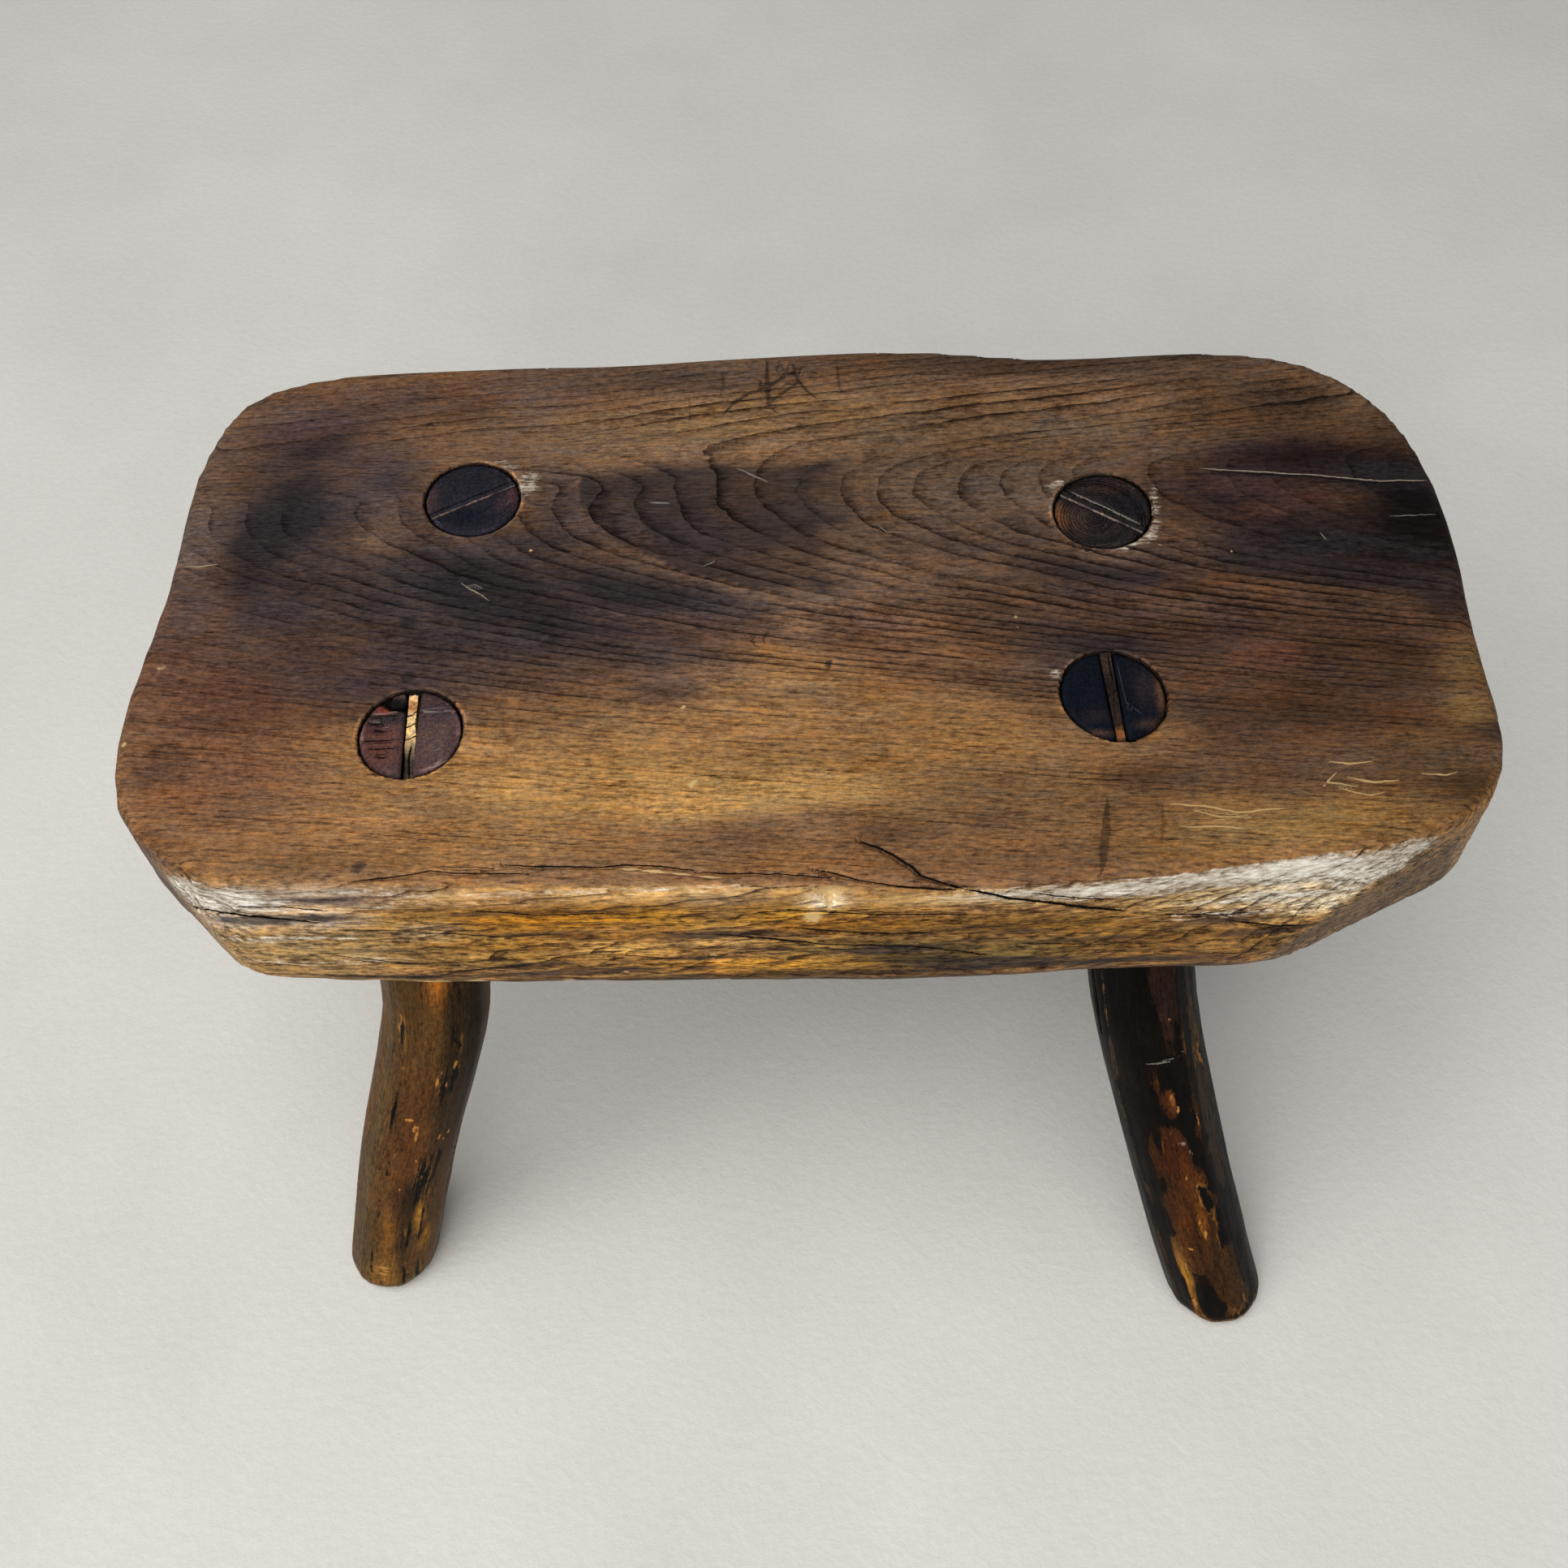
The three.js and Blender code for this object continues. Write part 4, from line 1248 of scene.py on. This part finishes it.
def leg_washes(z, bearing, reach, base, shapes):
    """Washes of colour given as height, bearing, half length, half width and colour."""
    tint = np.tile(np.asarray(base, float), (len(z), 1))
    for height, centre, length, width, colour in shapes:
        across = around(bearing, centre, reach)
        tint = washes(z, across, tint, [((height, 0), (length, width), colour)])
    return tint


def sculpt_leg(piece, lines, seed):
    """Hews the leg: shallow scallops, lifted fibres, splits, a worn foot and a trimmed tenon."""
    mesh = piece.data
    points, normals = read(mesh), read(mesh, "normal")
    away, bearing, reach = leg_frame(points, lines)
    z = points[:, 2]
    shank = smooth(SEAT_FOOT - 1, SEAT_FOOT - 16, z)
    straight = np.stack([z, away[:, 0], away[:, 1]], axis=1)

    push = shank * 0.5 * fractal(straight, (34, 11, 11), seed)
    push += shank * 0.24 * fractal(straight, (26, 2.6, 2.6), seed + 4)
    push += (1 - shank) * 0.06 * fractal(straight, (8, 4, 4), seed + 6)
    for split in leg_splits(z, bearing, reach, straight, seed, 0.9):
        push -= shank * 1.1 * np.clip(1 - np.abs(split), 0, 1)
    sides = smooth(0.8, 0.4, np.abs(normals[:, 2]))
    points += normals * (push * np.maximum(sides, 0.25 * (z > 1)))[:, None]

    worn = np.clip(1 - z / FOOT_WEAR, 0, 1)
    wobble = 1 + 0.2 * fractal(straight, 9, seed + 8)
    round_off = 1 - 0.36 * (1 - np.sqrt(1 - 0.97 * worn**2)) * wobble
    trim = smooth(2.0, 0.0, SEAT_TOP - 0.4 - z) * (0.004 + 0.008 * fractal(straight, 6, seed + 9))
    scale = round_off * (1 - trim)
    for i in range(2):
        points[:, i] += away[:, i] * (scale - 1)
    points[:, 2] = np.maximum(points[:, 2], 0)
    if piece.name.endswith("front_left"):
        points[:, 2] -= broken_corner(points)
    write(mesh, points)


def broken_corner(points):
    """The chunk missing from the front left tenon, and the steps where its fibres lifted."""
    x, y = (points[:, :2] - TENONS["leg_front_left"]).T
    top = smooth(3, 1.5, SEAT_TOP - points[:, 2])
    chunk = smooth(-0.6, 0.9, blot(x, y, (-4.0, 11.4), (5.6, 2.5), -8))
    steps = sum(np.clip(1 - np.abs(line(x, y, path, 0.7, taper=3)), 0, 1) for path in TENON_STEPS)
    return top * (3.2 * chunk + 1.2 * steps * (x < -2))


TENON_STEPS = (
    ((-14.5, 7.4), (-9, 7.2), (-4, 7.6)), ((-14, 4.6), (-10, 4.3), (-7.8, 3.2)),
    ((-12, 1.6), (-7, 1.4)), ((-14.5, -1.8), (-9, -2.2), (-4.5, -2.0)),
    ((-13, -5.0), (-8, -5.4), (-4, -5.0)), ((-11, -8.6), (-6, -8.9)),
)


# Lighter fibres and rubbed edges on the tenons' ends: path and strength.
TENON_FIBRES = {
    "leg_front_left": (
        (((2.6, 7.4), (8, 7.6), (15, 8.0)), 0.5), (((2.6, 8.6), (8, 9.2), (12, 9.2)), 0.3),
        (((6, -7.4), (10, -6.6), (12, -6.6)), 0.3), (((3.4, -14.6), (9, -12.8), (13, -9.6)), 0.5),
        (((-14, 8.2), (-9, 8.0), (-4.6, 8.6)), 0.4), (((-13.6, 5.2), (-8, 4.9)), 0.35),
        (((-9.6, 2.8), (-6.4, 2.4)), 0.5), (((-8, -5.9), (-4.4, -5.7)), 0.4),
    ),
    "leg_back_right": (
        (((-9.4, 9.6), (2, 1.4), (13, -7.0)), 0.5),
        (((-4, -3), (-2.4, -4.4)), 0.5), (((8.6, 7.4), (9.4, 6.6)), 0.6),
    ),
    "leg_back_left": (
        (((11, -4), (13.6, 0)), 0.3), (((-13, -8), (-10, -10.4)), 0.3),
    ),
    "leg_front_right": (
        (((4, -3.6), (8.6, -9)), 0.12), (((3.0, 13), (3.4, 2), (4.0, -8)), 0.08),
    ),
}


def leg_splits(z, bearing, reach, straight, seed, half_width):
    """Long drying splits down the leg, as signed fields."""
    splits = []
    for i in range(3):
        start = 40 + 55 * i + 8 * math.sin(seed + i)
        wavy = around(bearing, 90 * i + 37 * seed, reach) + 0.6 * fractal(straight, 9, seed)
        splits.append(line(z, wavy, ((start, 0), (start + 46, 1.5)), half_width, taper=14))
    return splits


def leg_stain(looks, z, bearing, reach):
    """How deep each point lies in a leg's dark stains, or in what is left of its black coat."""
    if "chips" not in looks:
        return leg_blots(z, bearing, reach, looks["stains"])
    coat = np.minimum(-leg_blots(z, bearing, reach, looks["chips"]), 4.0)
    return np.maximum(coat, leg_blots(z, bearing, reach, looks["drips"]))


def tenon_lines(x, y, end, paths, half_width, taper):
    """Lines over a tenon's end, and nowhere else on the leg, as signed fields with strengths."""
    lines = [(line(x, y, path, half_width, taper), shown) for path, shown in paths]
    return [(np.where(end > 0.4, field, CLEAR), shown) for field, shown in lines]


def tenon_rim(x, y, seed):
    """How light a tenon's end is near its edge: darker at it, and lighter in places just inside it as a
    painted highlight.
    """
    inset = TENON_RADIUS - np.hypot(x, y)
    # A painted highlight in places just inside the end's edge.
    rim_glint = np.clip(fractal(in_plane(x, y), 9, seed + 30), 0, 1)
    rim = 1 - 0.2 * smooth(0.4, 0.1, inset)
    return rim + 2.2 * rim_glint * smooth(1.5, 0.9, inset) * smooth(0.25, 0.6, inset)


def paint_leg(piece, node, lines, seed):
    """Works out a leg's fields from its finished shape."""
    mesh = piece.data
    points = read(mesh)
    away, bearing, reach = leg_frame(points, lines)
    z = points[:, 2]
    looks = LEG_LOOKS[node]
    straight = np.stack([z * 1.06, away[:, 0], away[:, 1]], axis=1)
    wobble = fractal(straight, (16, 6, 6), seed + 20, octaves=4)
    wz, wb = z + 7 * wobble, bearing + 9 * fractal(straight, (22, 7, 7), seed + 24, octaves=4)
    end = smooth(SEAT_TOP - 6, SEAT_TOP - 4, z)
    x, y = (points[:, :2] - TENONS[node]).T
    tenon = looks["tenon"]

    tint = leg_washes(wz, wb, reach, looks["base"], looks["washes"])
    tint *= 1 + 0.16 * fractal(straight, (60, 4.5, 4.5), seed + 22)[:, None]
    wx, wy = x + 0.7 * fractal(straight, 3, seed + 26), y + 0.7 * fractal(straight, 3, seed + 27)
    # Painted shade: the tenon's sides are darkened where they sink into the bore below the seat's top.
    rim = tenon_rim(x, y, seed) * (1 - 0.8 * smooth(0.9, 2.4, SEAT_TOP - z))
    lay(tint, end, washes(wx, wy, tenon["base"], tenon["washes"]) * rim[:, None])
    stain = leg_stain(looks, wz, wb, reach)
    stain += end * (OUTSIDE - stain)

    nicks = []
    for height, centre, length, width, *pale in looks["nicks"]:
        across = around(bearing, centre, reach)
        nicks.append((np.hypot((z - height) / length, across / width), pale[0] if pale else 0.9))
    scars = [(split, 0.8) for split in leg_splits(z, bearing, reach, straight, seed, 0.35)]
    steps = TENON_STEPS if node == "leg_front_left" else ()
    scars += tenon_lines(x, y, end, [(path, 0.9) for path in steps], 0.3, 3)
    nicks += tenon_lines(x, y, end, TENON_FIBRES[node], 0.16, 4)

    heart = np.hypot(x - tenon["heart"][0], y - tenon["heart"][1]) / 1.05
    ring = np.hypot(*(away + 1.8).T) / 1.1
    store(
        mesh,
        grain=straight,
        ring=ring + end * (heart - ring),
        figure=0.5 + end * (tenon["figure"] - 0.5),
        tint=unscreened(np.clip(tint, 0, 255)),
        coarse=0.75 - 0.15 * end,
        stain=stain,
        bare=OUTSIDE,
        scar=marks(z.shape, scars),
        nick=marks(z.shape, nicks),
    )


def make_leg(node, seed, material):
    piece = remeshed(node, node.replace("leg", "hewn_leg"), LEG_VOXEL)
    lines = middle_line(read(piece.data))
    sculpt_leg(piece, lines, seed)
    paint_leg(piece, node, lines, seed)
    finish_piece(piece, node, material, crease=60)


# ------------------------------------------------------------------ the wedges

# For each wedge: roughly which way its kerf runs over the tenon's end, how far its top lies
# below the seat's, its colour, and the colour and side (1, -1 or 0 for both) of its rubbed edge.
WEDGES = {
    "wedge_front_left": {"run": (0, 1), "sunk": 1.6, "tint": (240, 204, 146), "edge": None},
    "wedge_front_right": {"run": (0, 1), "sunk": 0.1, "tint": (41, 32, 28), "edge": None},
    "wedge_back_left": {"run": (1, 0), "sunk": 0.25, "tint": (38, 37, 45),
                        "edge": ((132, 112, 108), -1)},
    "wedge_back_right": {"run": (1, 0), "sunk": 0.2, "tint": (32, 29, 30),
                         "edge": ((140, 126, 120), 0)},
}


def wedge_tint(node, along, across, depth):
    """The colour of a wedge along and across its end, and down its sides."""
    looks = WEDGES[node]
    tint = np.tile(np.asarray(looks["tint"], float), (len(along), 1))
    if node == "wedge_front_left":
        tint = washes(along, across, tint, [((-11, 0), (8, 9), (58, 50, 46)),
                                            ((11.5, 0), (2.6, 9), (176, 124, 80))])
    if node == "wedge_front_right":
        tint = washes(along, across, tint, [((-14.8, 0), (2.4, 9), (128, 82, 48)),
                                            ((3, 0), (4, 9), (34, 27, 24)),
                                            ((12, 0), (4, 9), (56, 44, 37))])
    if looks["edge"]:
        colour, at = looks["edge"]
        right, left = np.quantile(across[depth < 1.5], (0.03, 0.97))
        upper = smooth(left - 0.5, left - 0.2, across) * (at >= 0)
        lower = smooth(right + 0.5, right + 0.2, across) * (at <= 0)
        rubbed = np.maximum(upper, lower) * smooth(2.5, 1.0, depth)
        rubbed *= np.clip(0.8 + fractal(np.stack([along, depth, across], axis=1), 4, 69), 0.2, 1)
        lay(tint, rubbed, colour)
    return tint


# Cracks over the wedges' ends: path along and across, half width, taper and strength.
WEDGE_CRACKS = {
    "wedge_front_left": (
        (((10.0, -3), (7.2, 3)), 0.22, 0.3, 1.0), (((5.6, -3), (2.8, 3)), 0.22, 0.3, 1.0),
        (((0.8, -3), (-2.0, 3)), 0.22, 0.3, 1.0),
        (((-3.4, -0.6), (-8, 0.2), (-15, -0.3)), 0.3, 2, 1.0),
    ),
    "wedge_front_right": (
        (((5, -0.9), (10, -0.8), (16, -0.9)), 0.22, 2, 1.0),
        (((-9, 0.7), (-3, 0.2), (2, -0.6)), 0.12, 3, 0.8),
    ),
}


def wedge_scars(node, along, across):
    """The cracks over a wedge's end as signed fields, with their strengths."""
    cracks = WEDGE_CRACKS.get(node, ())
    return [(line(along, across, path, half, taper), shown) for path, half, taper, shown in cracks]


def make_wedge(node, material):
    """A driven wedge, its top crushed by the mallet and, at the front left, snapped off low."""
    looks = WEDGES[node]
    piece = remeshed(node, node.replace("wedge", "driven_wedge"), WEDGE_VOXEL)
    mesh = piece.data
    points = read(mesh)
    high = points.max(axis=0)
    top = points[points[:, 2] > high[2] - 1.5][:, :2]
    middle = (top.min(axis=0) + top.max(axis=0)) / 2
    run = np.linalg.svd(top - top.mean(axis=0), full_matrices=False)[2][0]
    run *= np.sign(run @ np.array(looks["run"]))
    along = (points[:, :2] - middle) @ run
    across = (points[:, :2] - middle) @ np.array((-run[1], run[0]))
    depth = high[2] - points[:, 2]
    near_top = smooth(8, 0, depth)

    local = np.stack([depth, along, across], axis=1)
    crushed = looks["sunk"] + 0.25 * fractal(local * (0, 1, 1), 2.2, 61)
    front_left = node == "wedge_front_left"
    if front_left:
        broken = 0.9 * fractal(local * (0, 1, 0.4), 4.0, 63)
        broken += 0.3 * fractal(local * (0, 1, 1), 1.1, 65)
        crushed = crushed + 0.8 * broken + 1.2 * smooth(-4, -9, along)
    points[:, 2] -= near_top * crushed
    if front_left:
        points[:, 0] -= 0.9 * near_top * smooth(-2, 7, along) * np.clip(-across, 0, 1)
    write(mesh, points)
    store(
        mesh,
        grain=local,
        ring=across / 0.9,
        figure=0.4,
        tint=unscreened(wedge_tint(node, along, across, depth)),
        coarse=0.7,
        stain=OUTSIDE,
        bare=OUTSIDE,
        scar=marks(depth.shape, wedge_scars(node, along, across)),
        nick=marks(depth.shape, []),
    )
    finish_piece(piece, node, material, crease=50)


# ------------------------------------------------------------------ floor, light and camera

FLOOR_HALF = 15.0
FLOOR_SHADES = ((186, 185, 181), (215, 214, 209), (226, 225, 220), (236, 235, 231))

SKY_COLOUR, SKY_STRENGTH = (0.94, 0.97, 1.0, 1), 0.2
LAMPS_FACE = (0, 0, 0.2)

# Each lamp's name, place, width, power and colour.
LAMPS = (
    ("overhead", (-0.7, -0.8, 2.3), 2.5, 60, (1.0, 0.985, 0.95)),
    ("front", (-0.5, -2.2, 1.1), 1.1, 14, (1.0, 0.97, 0.92)),
)

# The photograph's camera: how far it looks down and leans, where it stands, and its lens.
CAMERA_PITCH, CAMERA_ROLL = math.radians(56.44), math.radians(2.7)
CAMERA_AT = (-0.00863, -0.35769, 0.720)
SENSOR_WIDTH, LENS = 36, 40.99


def make_floor():
    """A plain pale concrete floor."""
    n = Nodes("pale_floor")
    place = n.node("TexCoord").outputs["Object"]
    cloud = n.noise(place, (0.22, 0.22, 0.22), detail=6, roughness=0.6)
    grit = n.noise(place, (0.004, 0.004, 0.004), detail=4, roughness=0.7)
    value = n.mul_add(grit, 0.09, n.mul_add(cloud, 0.24, 0.5))
    n.put(n.shader.inputs["Base Color"], n.ramp(value, FLOOR_SHADES))
    n.shader.inputs["Roughness"].default_value = 0.8
    n.shader.inputs["Specular IOR Level"].default_value = 0.2
    bump = n.node("Bump", {"Strength": 0.25, "Distance": 0.5 * MM, "Height": grit})
    n.put(n.shader.inputs["Normal"], bump.outputs["Normal"])

    mesh = bpy.data.meshes.new("floor")
    corners = [(FLOOR_HALF * a, FLOOR_HALF * b, 0) for a, b in ((-1, -1), (1, -1), (1, 1), (-1, 1))]
    mesh.from_pydata(corners, [], [(0, 1, 2, 3)])
    mesh.materials.append(n.material)
    floor = bpy.data.objects.new("floor", mesh)
    bpy.context.scene.collection.objects.link(floor)


def make_lamp(name, place, size, power, colour):
    """A square lamp that faces the seat."""
    lamp = bpy.data.lights.new(name, "AREA")
    lamp.size, lamp.energy, lamp.color = size, power, colour
    made = bpy.data.objects.new(name, lamp)
    bpy.context.scene.collection.objects.link(made)
    made.location = place
    down = Vector(LAMPS_FACE) - Vector(place)
    made.rotation_euler = down.to_track_quat("-Z", "Y").to_euler()


def make_light():
    """A bright even sky, as in a white hall, a broad lamp overhead and a weak one in front."""
    world = bpy.data.worlds.new("hall")
    world.use_nodes = True
    sky = world.node_tree.nodes["Background"]
    sky.inputs["Color"].default_value = SKY_COLOUR
    sky.inputs["Strength"].default_value = SKY_STRENGTH
    bpy.context.scene.world = world
    for lamp in LAMPS:
        make_lamp(*lamp)


def make_camera():
    """The camera stands in front of the stool and looks steeply down at it."""
    steep, flat = math.sin(CAMERA_PITCH), math.cos(CAMERA_PITCH)
    lean, upright = math.sin(CAMERA_ROLL), math.cos(CAMERA_ROLL)
    forward, level, fall = Vector((0, flat, -steep)), Vector((1, 0, 0)), Vector((0, -steep, -flat))
    right = upright * level + lean * fall
    down = upright * fall - lean * level
    camera = bpy.data.cameras.new("camera")
    camera.sensor_width, camera.lens = SENSOR_WIDTH, LENS
    camera.clip_start, camera.clip_end = 0.02, 50
    made = bpy.data.objects.new("camera", camera)
    bpy.context.scene.collection.objects.link(made)
    made.matrix_world = Matrix((right, -down, -forward)).transposed().to_4x4()
    made.location = CAMERA_AT
    bpy.context.scene.camera = made


# ------------------------------------------------------------------ the whole stool

seat_timber = timber("seat_timber", SEAT_SOOT, FRESH, figured=0.6, cover=0.76)
leg_timber = timber("leg_timber", LEG_SOOT, CHIPPED, ragged=0.9, crisp=0.45, cover=0.97,
                    lifted=0.5, gloss=0.36, shine=0.03)
wedge_timber = timber("wedge_timber", WEDGE_SOOT, FRESH, figured=0.2, shine=0.06)

make_seat(seat_timber)
for seed, leg in enumerate(LEGS, start=2):
    make_leg(leg, seed, leg_timber)
for wedge in WEDGES:
    make_wedge(wedge, wedge_timber)
make_floor()
make_light()
make_camera()
bpy.context.scene.view_settings.view_transform = "Standard"
